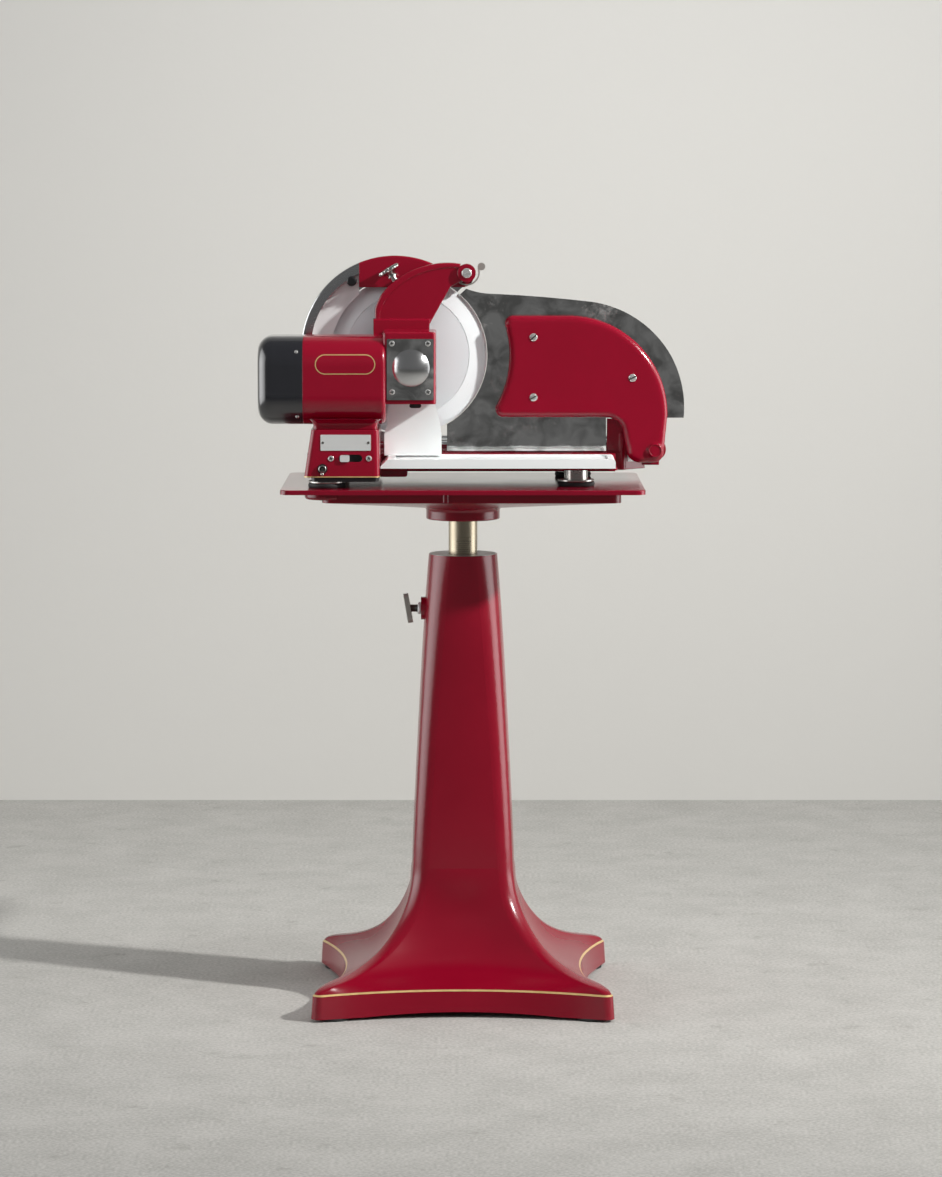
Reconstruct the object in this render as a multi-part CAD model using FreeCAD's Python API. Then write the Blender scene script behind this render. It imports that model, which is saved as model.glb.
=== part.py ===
"""Electric vertical slicer on a height-adjustable cast pedestal.

Own frame: +X to the right and +Y away from the slice-receiving side, +Z up, origin on the
floor under the middle of the pedestal. All sizes are in millimetres.
"""
import FreeCAD, Part
import math
import os

V = FreeCAD.Vector
X_AXIS, Y_AXIS, Z_AXIS = V(1, 0, 0), V(0, 1, 0), V(0, 0, 1)

# ---------------------------------------------------------------- clearances
FIT = 0.05            # radial running fit of a shaft in its bore
GAP = 0.3             # air between parts of different bodies

# ---------------------------------------------------------------- pedestal
PAD_R, PAD_T = 29.0, 5.0
PAD_INSET = 36.5      # pad centre inside the tip of a foot
TIP_HALF = 258.5      # half width over the four tips at the floor
WAIST_HALF = 217.0    # half width at the middle of a concave side
TIP_R = 14.0
RIM_TOP = 47.0
RIM_DRAFT_TIP, RIM_DRAFT_WAIST = 2.5, 10.0
PINSTRIPE = 3.0       # chamfer along the rim that carries the pinstripe
ARCH_RISE, ARCH_HALF = 5.0, 168.0
COLUMN_TOP, COLUMN_TOP_R = 777.0, 59.5
ROUND_LEAN = -22.5    # lean of the sides that makes a section a full circle
WALL = 8.0
HOLLOW_TUCK = 6.0     # extra metal under the rim, and the least corner radius inside
SLEEVE_LEN, SLEEVE_WALL = 215.0, 9.0
CROWN = 45.0          # solid crown above the hollow of the column
FLARE_WAIST, FLARE_TIP = 93.0, 94.0  # half widths where the flare meets the shaft
# height over the rim as a share of the column, shares of the way from the shaft's half width
# out to the rim's at the waist and at the tip, radius of the corner
FLARE = (
    (0.0110, 0.838, 0.950, 14.0),
    (0.0205, 0.685, 0.830, 15.0),
    (0.0384, 0.486, 0.579, 17.0),
    (0.0699, 0.288, 0.340, 19.0),
    (0.1068, 0.153, 0.189, 21.0),
    (0.1411, 0.063, 0.094, 24.0),
    (0.1959, 0.0, 0.0, 28.0),
)
# height share, half width, lean of the bulged sides in degrees, radius of the corner
SHAFT = (
    (0.2589, 89.5, -3.0, 30.0),
    (0.4288, 84.5, -5.0, 33.0),
    (0.6712, 75.5, -8.0, 38.0),
    (0.8808, 66.3, -14.0, 46.0),
)

# ---------------------------------------------------------------- lift post and its lock
POST_R = 25.0
POST_BOTTOM = 445.0
JOURNAL_R, JOURNAL_LEN = 20.0, 48.0
LOCK_Z = 681.0
LOCK_R = 6.0
LOCK_BOSS_R, LOCK_BOSS_PROUD = 20.0, 6.5
LOCK_REACH = 27.0     # bare screw between the boss and its tee bar
TEE_LEN, TEE_W, TEE_T, TEE_TILT = 52.0, 20.0, 9.0, 10.0

# ---------------------------------------------------------------- table
HUB_BOTTOM = 838.0
HUB_R, HUB_H = 64.0, 15.0
HUB_NECK_R = 34.0
PAN_R, PAN_Z = 74.0, 860.0
SKIRT_X0, SKIRT_X1, SKIRT_Y = -240.0, 270.0, 165.0
SKIRT_BOTTOM, SKIRT_R = 878.0, 20.0
CRADLE_WALL = 7.0
TABLE_TOP, TABLE_T = 903.0, 8.0
TABLE_X, TABLE_Y, TABLE_R = 310.0, 200.0, 18.0
FOOT_BOSS_R, FOOT_BOSS_H = 38.0, 12.0
SET_SCREW_R = 5.0
SKIRT_RIB_X, SKIRT_RIB_R = -29.0, 5.5  # half-round rib on the front of the skirt

# ---------------------------------------------------------------- slicer feet
FOOT_R = 32.0
FEET_LEFT_X, FEET_RIGHT_X = -232.0, 194.0
FEET_FRONT_Y, FEET_RIGHT_FRONT_Y, FEET_REAR_Y = -132.0, -98.0, 118.0
FOOT_RING_T = 3.5
FOOT_BULGE = 1.5      # how far the rubber stands out at mid height
FOOT_STUD_R = 20.0

# ---------------------------------------------------------------- machine base
COVER_BOTTOM = 914.5  # underside of the black bottom cover of the tower
BASE_BOTTOM, BASE_TOP, BASE_WALL = 922.0, 953.0, 6.0
BASE_X1, BASE_FRONT, BASE_BACK = 318.0, -24.0, 165.0
TOWER_X0, TOWER_X1, TOWER_TOP = -270.0, -141.0, 1003.0
TOWER_FRONT, TOWER_BACK, TOWER_R = -165.0, -12.0, 10.0
TOWER_LEAN, TOWER_LEAN_RIGHT = 12.5, 1.5
SHELF_BOTTOM, SHELF_T, SHELF_R = 931.0, 5.0, 3.0
SHELF_FRONT, SHELF_X1 = -120.0, 264.0
SHELF_LUG_W, SHELF_LUG_DEPTH, SHELF_LUG_DROP = 46.0, 50.0, 12.0
BEHIND_GAUGE = 1.5    # base behind the back plane of the gauge casting
CORNER_X = 276.0      # where the oblique corner behind the gauge starts
PILLAR_R, PILLAR_TOP, PILLAR_PROUD = 7.5, 984.0, 0.7
CORNER_PLATE_H, CORNER_PLATE_T, CORNER_PLATE_SHORT = 15.0, 1.5, 12.0

# ---------------------------------------------------------------- switches, plate and gland
RATING_X0, RATING_X1, RATING_Z0, RATING_Z1, RATING_T = -241.5, -156.0, 968.0, 995.0, 1.0
SWITCH_X0, SWITCH_X1, SWITCH_Z, SWITCH_HALF = -210.5, -171.0, 954.6, 6.2
SWITCH_BODY_T, SWITCH_BODY_MARGIN = 12.0, 4.5
SLIDER_LEN, SLIDER_PROUD, SLIDER_R = 16.0, 4.0, 2.5
TOGGLE_X, TOGGLE_Z, TOGGLE_R = -238.3, 936.8, 8.5
TOGGLE_PROUD, TOGGLE_NECK, TOGGLE_MOUTH = 3.0, 2.5, 4.5
BAT_R0, BAT_R1, BAT_LEN, BAT_DROP = 1.6, 2.9, 14.0, 35.0
GLAND_X, GLAND_Z, GLAND_R, GLAND_BORE = -205.0, 937.0, 8.0, 4.0
GLAND_NUT_R, GLAND_NUT_T, GLAND_TAIL = 11.5, 9.0, 10.0

# ---------------------------------------------------------------- motor and gear case
MOTOR_X0, MOTOR_X1 = -272.0, -131.0
MOTOR_Y0, MOTOR_Y1 = -165.0, -15.0
MOTOR_Z0, MOTOR_Z1 = 1010.0, 1161.0
MOTOR_R, MOTOR_END_R = 50.0, 8.0
HEAD_WALL, CAP_WALL = 6.0, 3.5
NECK_IN, NECK_FRONT_IN, NECK_BACK_IN = 3.0, 14.0, 10.0  # neck inside the tower's top edges
NECK_COVE = 12.0      # hollow curve from the neck out to the motor's underside
CAP_LEN, CAP_R = 77.0, 25.0
CASE_X0, CASE_X1 = -136.0, -46.0
CASE_Y0, CASE_Y1 = -150.0, -22.0
CASE_Z0, CASE_Z1 = 1046.0, 1168.0
CASE_R = 7.0
COVER_T, COVER_MARGIN, COVER_TOP_MARGIN = 3.0, 7.0, 11.2
COVER_LAND = 6.0      # width of the case's edge that the cover lies on
COVER_SCREW_IN, COVER_SCREW_BOSS_R, COVER_SCREW_BOSS_LEN = 9.0, 6.5, 20.0
DOME_X, DOME_Z, DOME_R, DOME_H = -88.0, 1107.5, 31.5, 11.0

# ---------------------------------------------------------------- motor and worm gear inside
STATOR_X0, STATOR_X1, STATOR_SHIELD = -300.0, -150.0, 8.0
STATOR_BORE_R, AIR_GAP = 36.5, 0.6
MOTOR_SHAFT_R, MOTOR_SHAFT_X0, MOTOR_SHAFT_SEAT = 6.0, -308.0, 5.0
WORM_R, WORM_HALF, WORM_PITCH, WORM_DEPTH = 11.5, 20.0, 5.0, 1.6
WHEEL_W, WHEEL_TEETH, WHEEL_NOTCH_R = 16.0, 24, 1.4
BEARING_R, BEARING_LEN = 22.0, 44.0

# ---------------------------------------------------------------- knife
KNIFE_X, KNIFE_Z, KNIFE_R = -96.2, 1122.3, 137.5
KNIFE_FACE_Y, KNIFE_EDGE_Y = 2.0, 13.5
KNIFE_FACE_R = 107.0
KNIFE_T = 3.5
SHAFT_R, SHAFT_LEN = 12.5, 98.0
HUB_FLANGE_R, HUB_FLANGE_T = 40.0, 8.0

# ---------------------------------------------------------------- knife guard
# circles past the knife's edge: extra radius, and how far and in which direction (degrees from
# +X towards +Z) their middle lies off the knife's axis
GUARD_EXTRA, GUARD_OFF, GUARD_TURN = 25.8, 23.05, 157.6
LIP_EXTRA, LIP_OFF, LIP_TURN = 6.3, 25.65, 155.8
KNIFE_GAP = 1.8       # guard stays this far off the edge
GUARD_FRONT, GUARD_BACK = -8.0, 12.0
GUARD_MIN_W, GUARD_RECESS, GUARD_EDGE_R = 10.0, 11.0, 4.0
GUARD_FROM, GUARD_TO = 43.0, 287.0
CRESCENT_LIP, CRESCENT_T = 3.7, 3.0
CRESCENT_TO = 225.0    # its lower end, as a direction from the guard's middle
TOP_COVER_T, TOP_COVER_EDGE_R = 8.0, 3.0
TOP_COVER_H, LATCH_CLEAR = 54.4, 3.9  # depth from the guard's top, left end beside the latch
EAR_R, EAR_T, EAR_X, EAR_Z = 18.0, 2.6, -6.0, -7.0  # ear round the pin, and its middle off the pin
LEVER_R, LEVER_T, LEVER_W = 22.5, 4.6, 2.5
LEVER_TURN, LEVER_TAIL, LEVER_TAB_R, LEVER_SPOKE_TURN = 22.0, -125.0, 6.5, 60.0
LATCH_IN, LATCH_TURN, LATCH_R, LATCH_H = 22.65, 122.0, 8.6, 14.0

# ---------------------------------------------------------------- arm over the knife
ARM_FRONT, ARM_BACK = -50.0, -16.0
ARM_EDGE_R = 4.0
ARM_ROOT_LEFT, ARM_ROOT_X1 = 8.5, -60.0  # left side of its root past the ridge's end, right side
ARM_ROOT_H, ARM_ROOT_STEP = 37.0, 4.5  # ends of its left and right side over the gear case
# points along its upper edge: past the knife's edge, and direction from the knife's axis
ARM_RIDGE = ((32.9, 70.0), (20.8, 78.6), (-2.9, 96.7), (-24.6, 114.5))
ARM_BORDER, ARM_BORDER_DEPTH = 8.0, 1.2  # raised border along the upper edge
ARM_CROOK_R, ARM_STEP_R, ARM_RIDGE_R, ARM_SHOULDER_R = 14.0, 20.0, 40.0, 25.0
PIN_OUT, PIN_TURN = 19.5, 47.3  # pin past the guard's edge, and direction from the guard's middle
PIN_R, PIN_BOSS_R = 8.6, 15.7
PIN_BOSS_PROUD, PIN_HEAD_PROUD = 6.0, 3.0
COLLAR_SIDE, COLLAR_TOP, COLLAR_PROUD = 2.5, 1187.0, 5.0
CLAMP_IN, CLAMP_TURN, CLAMP_DEPTH = 7.3, 98.75, 13.5  # foot inside the knife's edge, behind the front
CLAMP_ANGLE = 121.5   # direction of the clamp knob's axis in the XZ plane
CLAMP_R, CLAMP_T, CLAMP_STEM_R, CLAMP_STEM_LEN = 19.7, 8.0, 5.0, 20.0
CLAMP_SUNK, CLAMP_BORE, CLAMP_NOTCHES, CLAMP_NOTCH_R = 15.5, 60.0, 12, 2.6
CLAMP_FLANGE_AT, CLAMP_FLANGE_T, CLAMP_CONE = 9.0, 3.0, 6.0

# ---------------------------------------------------------------- receiving side
TRAY_X0, TRAY_X1, TRAY_FRONT, TRAY_BACK = -140.0, 260.0, -150.0, -25.0
TRAY_H, TRAY_T, TRAY_RIM, TRAY_DISH = 15.5, 1.5, 12.0, 3.0
TRAY_END_SLOPE = 12.0
DEFLECTOR_Y, DEFLECTOR_T = -58.0, 2.0
DEFLECTOR_TOP_X0, DEFLECTOR_TOP_X1 = -126.0, -50.0
DEFLECTOR_LOW_X0, DEFLECTOR_LOW_X1 = -135.5, -37.0
DEFLECTOR_FLANGE, DEFLECTOR_R = 18.0, 14.0
DEFLECTOR_SIDE_H, DEFLECTOR_SIDE_H_RIGHT = 38.0, 46.0
DEFLECTOR_WAIST_X, DEFLECTOR_WAIST_Z = 5.5, 68.0  # bend of the right side, from the low corner
DEFLECTOR_HOLE_X, DEFLECTOR_HOLE_DROP = -82.0, 8.0
DEFLECTOR_HOLE_HALF, DEFLECTOR_HOLE_R = 6.0, 4.3

# ---------------------------------------------------------------- gauge
PLATE_FRONT, PLATE_BACK = 8.0, 14.0
PLATE_LOW_X0, PLATE_LOW_X1, PLATE_LOW_Z = -27.8, 248.7, 955.2
PLATE_STEP_Z = 1013.0
PLATE_X1 = 383.5
PLATE_GAP = 1.0       # plate's hollow edge off the knife's
PLATE_TIP_TURN = 49.0  # where the plate's knife-side edge ends, as a direction from the knife
# points along the plate's upper edge: past the knife's right edge, and below its top
PLATE_CROWN = ((-11.3, 29.8), (10.7, 31.8), (91.7, 36.8), (173.7, 44.8), (261.7, 76.3),
               (319.7, 138.8), (337.2, 182.8))
GAUGE_T, GAUGE_EDGE_R = 30.0, 10.0
GAUGE_WALL, GAUGE_FLOOR = 6.0, 7.0
GAUGE_SCREWS = ((121.9, 1154.0), (122.1, 1050.3), (293.5, 1084.0))
GAUGE_BOSS_R = 9.0
GAUGE_FOOT_CLEAR = 2.0  # casting above the step of the plate
GAUGE_LEFT_R, GAUGE_SHOULDER_R = 176.5, 172.0
GAUGE_TOP, GAUGE_RIGHT = 1191.0, 354.5
LOBE_X, LOBE_Z, LOBE_R, LOBE_PROUD = 333.0, 958.0, 12.6, 4.0
# corners of the lobe off its middle, and their radii
LOBE_TOE, LOBE_TOE_R = (13.5, -21.0), 17.0
LOBE_HEEL, LOBE_HEEL_R = (-46.0, -22.0), 24.0
LOBE_CROOK, LOBE_CROOK_R = -59.5, 30.0
GAUGE_CORNER_R = 14.0
GAUGE_SHAFT_R, GAUGE_SHAFT_END = 9.0, 100.0
GAUGE_SHAFT_SEAT = 8.0    # metal of the casting in front of the shaft
BUSH_WALL, BUSH_LEN, BUSH_FOOT_T = 11.0, 52.0, 14.0
WEB_T, WEB_R, WEB_OFF_PLATE = 3.3, 12.0, 1.5

# ---------------------------------------------------------------- index knob
INDEX_R, INDEX_H = 19.0, 22.0
INDEX_SHAFT_R, INDEX_WALL, INDEX_BEARING = 5.0, 7.0, 16.0
INDEX_OVERLAP = 40.0  # length of the index screw inside the gauge shaft
INDEX_GROOVES, INDEX_GROOVE_R = 16, 2.0

# ---------------------------------------------------------------- carriage
ROD_R, ROD_Y, ROD_Z = 10.0, 138.0, 964.0
RAIL_R, RAIL_Y = 8.0, 64.0
ROD_X0, ROD_X1 = -254.0, 314.0
LUG_T, LUG_TOP, LUG_TOP_R, LUG_EDGE = 14.0, 981.0, 16.0, 8.0
BLOCK_X0, BLOCK_X1 = 92.0, 212.0
BED_X0, BED_X1, BED_Y0, BED_Y1 = 62.0, 246.0, 18.0, 206.0
BLOCK_WALL, BLOCK_FRONT_IN, BRIDGE_IN, BRIDGE_T = 8.0, 20.0, 10.0, 9.0
BED_Z, BED_T, BED_R = 986.0, 7.0, 8.0
BED_GROOVE_PITCH, BED_GROOVE_W, BED_GROOVE_DEPTH = 16.0, 4.0, 1.5
FENCE_T, FENCE_TOP, FENCE_R, FENCE_FRONT_IN, FENCE_BACK_IN = 7.0, 1118.0, 20.0, 4.0, 6.0
PUSH_ROD_R, PUSH_ROD_Z = 7.0, 1136.0
PUSH_LUG_FRONT_IN, PUSH_LUG_BACK_IN, PUSH_LUG_T, PUSH_LUG_WALL, PUSH_LUG_DROP = 28.0, 38.0, 12.0, 5.0, 24.0
PUSH_ROD_FRONT_IN, PUSH_ROD_BACK_IN = 22.0, 20.0
PUSH_PLATE_W, PUSH_PLATE_H, PUSH_PLATE_T, PUSH_PLATE_R, PUSH_PLATE_OVER = 112.0, 84.0, 5.0, 10.0, 4.0
PUSHER_BACK_IN, PUSHER_LEN, PUSHER_WALL, PUSHER_REACH = 66.0, 26.0, 4.0, 100.0
PUSHER_ARM_W, PUSHER_ARM_H, PUSHER_DROP_W = 10.0, 10.0, 14.0
SPIKE_ROWS, SPIKE_COLUMNS, SPIKE_R, SPIKE_TIP_R, SPIKE_LEN = 3, 4, 2.2, 0.4, 7.0
SPIKE_SIDE_IN, SPIKE_END_IN = 20.0, 16.0
HANDLE_R, HANDLE_LEN, HANDLE_STEM_R, HANDLE_STEM, HANDLE_UP = 13.0, 62.0, 6.0, 14.0, 72.0


# ================================================================ places worked out
def polar(x, z, reach, turn):
    """Point (x, z) at a reach and a direction in degrees from +X towards +Z."""
    a = math.radians(turn)
    return x + reach * math.cos(a), z + reach * math.sin(a)


MOTOR_Y, MOTOR_Z = (MOTOR_Y0 + MOTOR_Y1) / 2, (MOTOR_Z0 + MOTOR_Z1) / 2
WHEEL_R = KNIFE_Z - MOTOR_Z - WORM_R - GAP
GUARD_R, LIP_R = KNIFE_R + GUARD_EXTRA, KNIFE_R + LIP_EXTRA
GUARD_X, GUARD_Z = polar(KNIFE_X, KNIFE_Z, GUARD_OFF, GUARD_TURN)
LIP_X, LIP_Z = polar(KNIFE_X, KNIFE_Z, LIP_OFF, LIP_TURN)
PIN_X, PIN_Z = polar(GUARD_X, GUARD_Z, GUARD_R + PIN_OUT, PIN_TURN)
LATCH_X, LATCH_Z = polar(GUARD_X, GUARD_Z, GUARD_R - LATCH_IN, LATCH_TURN)
TOP_COVER_X0 = LATCH_X + LATCH_R + LATCH_CLEAR
RIDGE_END_X = polar(KNIFE_X, KNIFE_Z, KNIFE_R + ARM_RIDGE[-1][0], ARM_RIDGE[-1][1])[0]
ARM_ROOT_X0 = RIDGE_END_X - ARM_ROOT_LEFT
CLAMP_X, CLAMP_Z = polar(KNIFE_X, KNIFE_Z, KNIFE_R - CLAMP_IN, CLAMP_TURN)
CLAMP_FOOT = V(CLAMP_X, ARM_FRONT + CLAMP_DEPTH, CLAMP_Z)


# ================================================================ helpers
def box(x0, x1, y0, y1, z0, z1):
    """Box from its two corners."""
    return Part.makeBox(x1 - x0, y1 - y0, z1 - z0, V(x0, y0, z0))


def cyl(r, base, axis, length):
    """Cylinder from the centre of its base."""
    return Part.makeCylinder(r, length, base, axis)


def edges_along(shape, axis, test=lambda p: True):
    """Straight edges parallel to axis whose middle passes the test."""
    found = []
    for e in shape.Edges:
        if e.Curve.TypeId != "Part::GeomLine":
            continue
        d = e.Vertexes[-1].Point - e.Vertexes[0].Point
        if d.Length > 1e-6 and abs(abs(d.normalize().dot(axis)) - 1) < 1e-6:
            if test(e.CenterOfMass):
                found.append(e)
    return found


def rounded_box(x0, x1, y0, y1, z0, z1, r, axis=Z_AXIS):
    """Box whose four edges along axis are rounded."""
    b = box(x0, x1, y0, y1, z0, z1)
    return b.makeFillet(r, edges_along(b, axis))


def face_edges(shape, axis, level):
    """Edges that lie wholly in the plane at the given level along axis."""
    return [e for e in shape.Edges
            if all(abs(p.dot(axis) - level) < 1e-4 for p in e.discretize(4))]


def arc(p, q, r):
    """Arc edge through three points."""
    return Part.Arc(p, q, r).toShape()


def line(p, q):
    """Straight edge."""
    return Part.LineSegment(p, q).toShape()


def prism_y(edges, y0, y1):
    """Solid between two planes across Y from a closed outline drawn at y = 0."""
    face = Part.Face(Part.Wire(Part.__sortEdges__(edges)))
    solid = face.extrude(V(0, y1 - y0, 0))
    solid.translate(V(0, y0, 0))
    return solid


def outline_xz(steps):
    """Edges of a closed XZ outline: each step is (x, z) or (mid, end) for an arc."""
    pts = [s if isinstance(s[0], (int, float)) else s[1] for s in steps]
    edges = []
    for i, step in enumerate(steps):
        start = V(pts[i - 1][0], 0, pts[i - 1][1])
        end = V(pts[i][0], 0, pts[i][1])
        if isinstance(step[0], (int, float)):
            edges.append(line(start, end))
        else:
            edges.append(arc(start, V(step[0][0], 0, step[0][1]), end))
    return edges


def disc_y(x, z, r, y0, y1):
    """Disc across Y about (x, z)."""
    return cyl(r, V(x, y0, z), Y_AXIS, y1 - y0)


def sector_y(x, z, r, a0, a1, y0, y1):
    """Wedge of a disc across Y between two angles in degrees, measured from +X towards +Z."""
    p = [V(x + r * math.cos(math.radians(a)), 0, z + r * math.sin(math.radians(a)))
         for a in (a0, (a0 + a1) / 2, a1)]
    centre = V(x, 0, z)
    return prism_y([line(centre, p[0]), arc(p[0], p[1], p[2]), line(p[2], centre)], y0, y1)


def soften(solid, axis, corners):
    """Round the edge along axis that is nearest to each (x, z) by its own radius."""
    for x, z, r in corners:
        edge = min(edges_along(solid, axis),
                   key=lambda e: math.hypot(e.CenterOfMass.x - x, e.CenterOfMass.z - z))
        solid = solid.makeFillet(r, [edge])
    return solid


def one(shape):
    """Refined single solid."""
    s = shape.removeSplitter()
    return s.Solids[0] if len(s.Solids) == 1 else s


# ================================================================ pedestal
def section(z, waist, r, beta):
    """Closed outline at height z: four corner arcs joined by four arcs, all tangent.

    beta is the lean in degrees of a side where it leaves a corner: positive for a concave
    side, negative for a bulged one. A circle has r equal to waist.
    """
    b = math.radians(beta)
    c = (waist - r) / (1 - math.tan(b / 2))
    edges = []
    for k in range(4):
        turn = FreeCAD.Rotation(Z_AXIS, 90 * k)
        start = V(c + r * math.cos(b), c - r * math.sin(b), z)
        apex = V(c + r / math.sqrt(2), c + r / math.sqrt(2), z)
        end = V(c - r * math.sin(b), c + r * math.cos(b), z)
        after = V(-end.x, end.y, z)
        edges.append(arc(turn.multVec(start), turn.multVec(apex), turn.multVec(end)))
        edges.append(arc(turn.multVec(end), turn.multVec(V(0, waist, z)), turn.multVec(after)))
    return Part.Wire(edges)


def concave(tip, waist, r):
    """Lean of the sides that brings the tips out to the given half width."""
    return math.degrees(2 * math.atan((tip - waist) / (tip - r)))


def column_profile():
    """Sections (z, waist, r, beta) from the rim to the crown."""
    height = COLUMN_TOP - RIM_TOP
    tip = TIP_HALF - RIM_DRAFT_TIP - PINSTRIPE
    waist = WAIST_HALF - RIM_DRAFT_WAIST - PINSTRIPE
    rows = [(RIM_TOP, waist, TIP_R - PINSTRIPE, concave(tip, waist, TIP_R - PINSTRIPE))]
    for share, waist_share, tip_share, r in FLARE:
        half = FLARE_WAIST + waist_share * (waist - FLARE_WAIST)
        reach = FLARE_TIP + tip_share * (tip - FLARE_TIP)
        rows.append((RIM_TOP + share * height, half, r, concave(reach, half, r)))
    for share, half, beta, r in SHAFT:
        rows.append((RIM_TOP + share * height, half, r, beta))
    rows.append((COLUMN_TOP, COLUMN_TOP_R, COLUMN_TOP_R, ROUND_LEAN))
    return rows


def column_half(z):
    """Half width of the column at height z, between its sections."""
    rows = column_profile()
    for low, high in zip(rows, rows[1:]):
        if low[0] <= z <= high[0]:
            t = (z - low[0]) / (high[0] - low[0])
            return low[1] + t * (high[1] - low[1])
    return COLUMN_TOP_R


def rim():
    """Low upright wall of the foot with a chamfer along its top."""
    chamfer_z = RIM_TOP - PINSTRIPE
    tip, waist = TIP_HALF - RIM_DRAFT_TIP, WAIST_HALF - RIM_DRAFT_WAIST
    wires = [
        section(PAD_T, WAIST_HALF, TIP_R, concave(TIP_HALF, WAIST_HALF, TIP_R)),
        section(chamfer_z, waist, TIP_R, concave(tip, waist, TIP_R)),
        section(RIM_TOP, waist - PINSTRIPE, TIP_R - PINSTRIPE,
                concave(tip - PINSTRIPE, waist - PINSTRIPE, TIP_R - PINSTRIPE)),
    ]
    return Part.makeLoft(wires, True, True)


def hollow():
    """Inside of the pedestal, one wall thickness in from every section."""
    rows = column_profile()
    wires = []
    floor_tip, floor_waist = TIP_HALF - WALL, WAIST_HALF - WALL
    floor_r = TIP_R - HOLLOW_TUCK / 2
    wires.append(section(-1.0, floor_waist, floor_r, concave(floor_tip, floor_waist, floor_r)))
    for i, (z, waist, r, beta) in enumerate(rows[:-1]):
        below = rows[max(i - 1, 0)]
        above = rows[i + 1]
        dz, dm = above[0] - below[0], above[1] - below[1]
        length = math.hypot(dz, dm)
        inner_z = z + WALL * dm / length
        inner_waist = waist - WALL * dz / length - 1.0
        if i == 0:
            inner_waist = floor_waist - RIM_DRAFT_WAIST
            inner_z = z - WALL - HOLLOW_TUCK
        wires.append(section(inner_z, inner_waist, max(r - WALL, HOLLOW_TUCK), beta))
    top = rows[-1][1] - WALL
    wires.append(section(COLUMN_TOP - CROWN, top, top, ROUND_LEAN))
    return Part.makeLoft(wires, True, True)


def pedestal_column():
    """Cast column flaring into a four-tipped foot, bored for the post, hollow below."""
    wires = [section(*row) for row in column_profile()]
    bend = len(FLARE) + 1
    flare = Part.makeLoft(wires[:bend + 1], True, False)
    shaft = Part.makeLoft(wires[bend:], True, False)
    shell = rim().fuse([flare, shaft])
    inside = hollow()
    sleeve_r = POST_R + FIT + SLEEVE_WALL
    sleeve = cyl(sleeve_r, V(0, 0, COLUMN_TOP - SLEEVE_LEN), Z_AXIS, SLEEVE_LEN - CROWN / 2)
    body = shell.cut(inside).fuse(sleeve)
    boss_x = column_half(LOCK_Z) + LOCK_BOSS_PROUD
    boss = cyl(LOCK_BOSS_R, V(-boss_x, 0, LOCK_Z), X_AXIS, boss_x - POST_R - SLEEVE_WALL / 2)
    body = body.fuse(boss)
    body = body.cut(cyl(POST_R + FIT, V(0, 0, -1), Z_AXIS, COLUMN_TOP + 2))
    body = body.cut(cyl(LOCK_R + FIT, V(-boss_x - 1, 0, LOCK_Z), X_AXIS, boss_x))
    arch_r = (ARCH_HALF ** 2 + ARCH_RISE ** 2) / (2 * ARCH_RISE)
    for axis in (X_AXIS, Y_AXIS):
        start = axis * -TIP_HALF * 1.2 + V(0, 0, PAD_T + ARCH_RISE - arch_r)
        body = body.cut(cyl(arch_r, start, axis, TIP_HALF * 2.4))
    return one(body)


def floor_pads():
    """Four round rubber pads under the tips."""
    at = TIP_HALF - PAD_INSET
    pads = {}
    for i, (sx, sy) in enumerate(((-1, -1), (1, -1), (1, 1), (-1, 1)), 1):
        pad = cyl(PAD_R, V(sx * at, sy * at, 0), Z_AXIS, PAD_T)
        pads[f"floor_pad_{i}"] = pad.makeFillet(1.5, face_edges(pad, Z_AXIS, 0.0))
    return pads


def lock_screw():
    """Screw with a tilted tee bar that holds the post at its height."""
    boss_x = column_half(LOCK_Z) + LOCK_BOSS_PROUD
    tip_x = POST_R + GAP
    end_x = boss_x + LOCK_REACH - TEE_T / 2
    stem = cyl(LOCK_R, V(-end_x, 0, LOCK_Z), X_AXIS, end_x - tip_x)
    bar = rounded_box(-TEE_T / 2, TEE_T / 2, -TEE_W / 2, TEE_W / 2, -TEE_LEN / 2, TEE_LEN / 2,
                      TEE_W / 2 - 0.5, X_AXIS)
    bar = bar.makeFillet(1.5, face_edges(bar, X_AXIS, -TEE_T / 2))
    bar.rotate(V(0, 0, 0), Y_AXIS, -TEE_TILT)
    bar.translate(V(-end_x, 0, LOCK_Z))
    return one(stem.fuse(bar))


def lift_post():
    """Round post that slides in the column and carries the table on its journal."""
    top = HUB_BOTTOM - GAP
    post = cyl(POST_R, V(0, 0, POST_BOTTOM), Z_AXIS, top - POST_BOTTOM)
    post = post.makeChamfer(2.0, face_edges(post, Z_AXIS, POST_BOTTOM))
    journal = cyl(JOURNAL_R, V(0, 0, top), Z_AXIS, JOURNAL_LEN)
    journal = journal.makeChamfer(1.5, face_edges(journal, Z_AXIS, top + JOURNAL_LEN))
    return one(post.fuse(journal))


# ================================================================ table
def pan_wire(z, x0, x1, y, r):
    """Rounded rectangle at height z, corner by corner, from the right front one."""
    corners = ((x1 - r, -y + r, -90), (x1 - r, y - r, 0), (x0 + r, y - r, 90), (x0 + r, -y + r, 180))
    arcs = []
    for cx, cy, a in corners:
        p = [V(cx + r * math.cos(math.radians(a + d)), cy + r * math.sin(math.radians(a + d)), z)
             for d in (0, 45, 90)]
        arcs.append(p)
    edges = []
    for i, p in enumerate(arcs):
        edges.append(arc(*p))
        edges.append(line(p[2], arcs[(i + 1) % 4][0]))
    return Part.Wire(edges)


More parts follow.
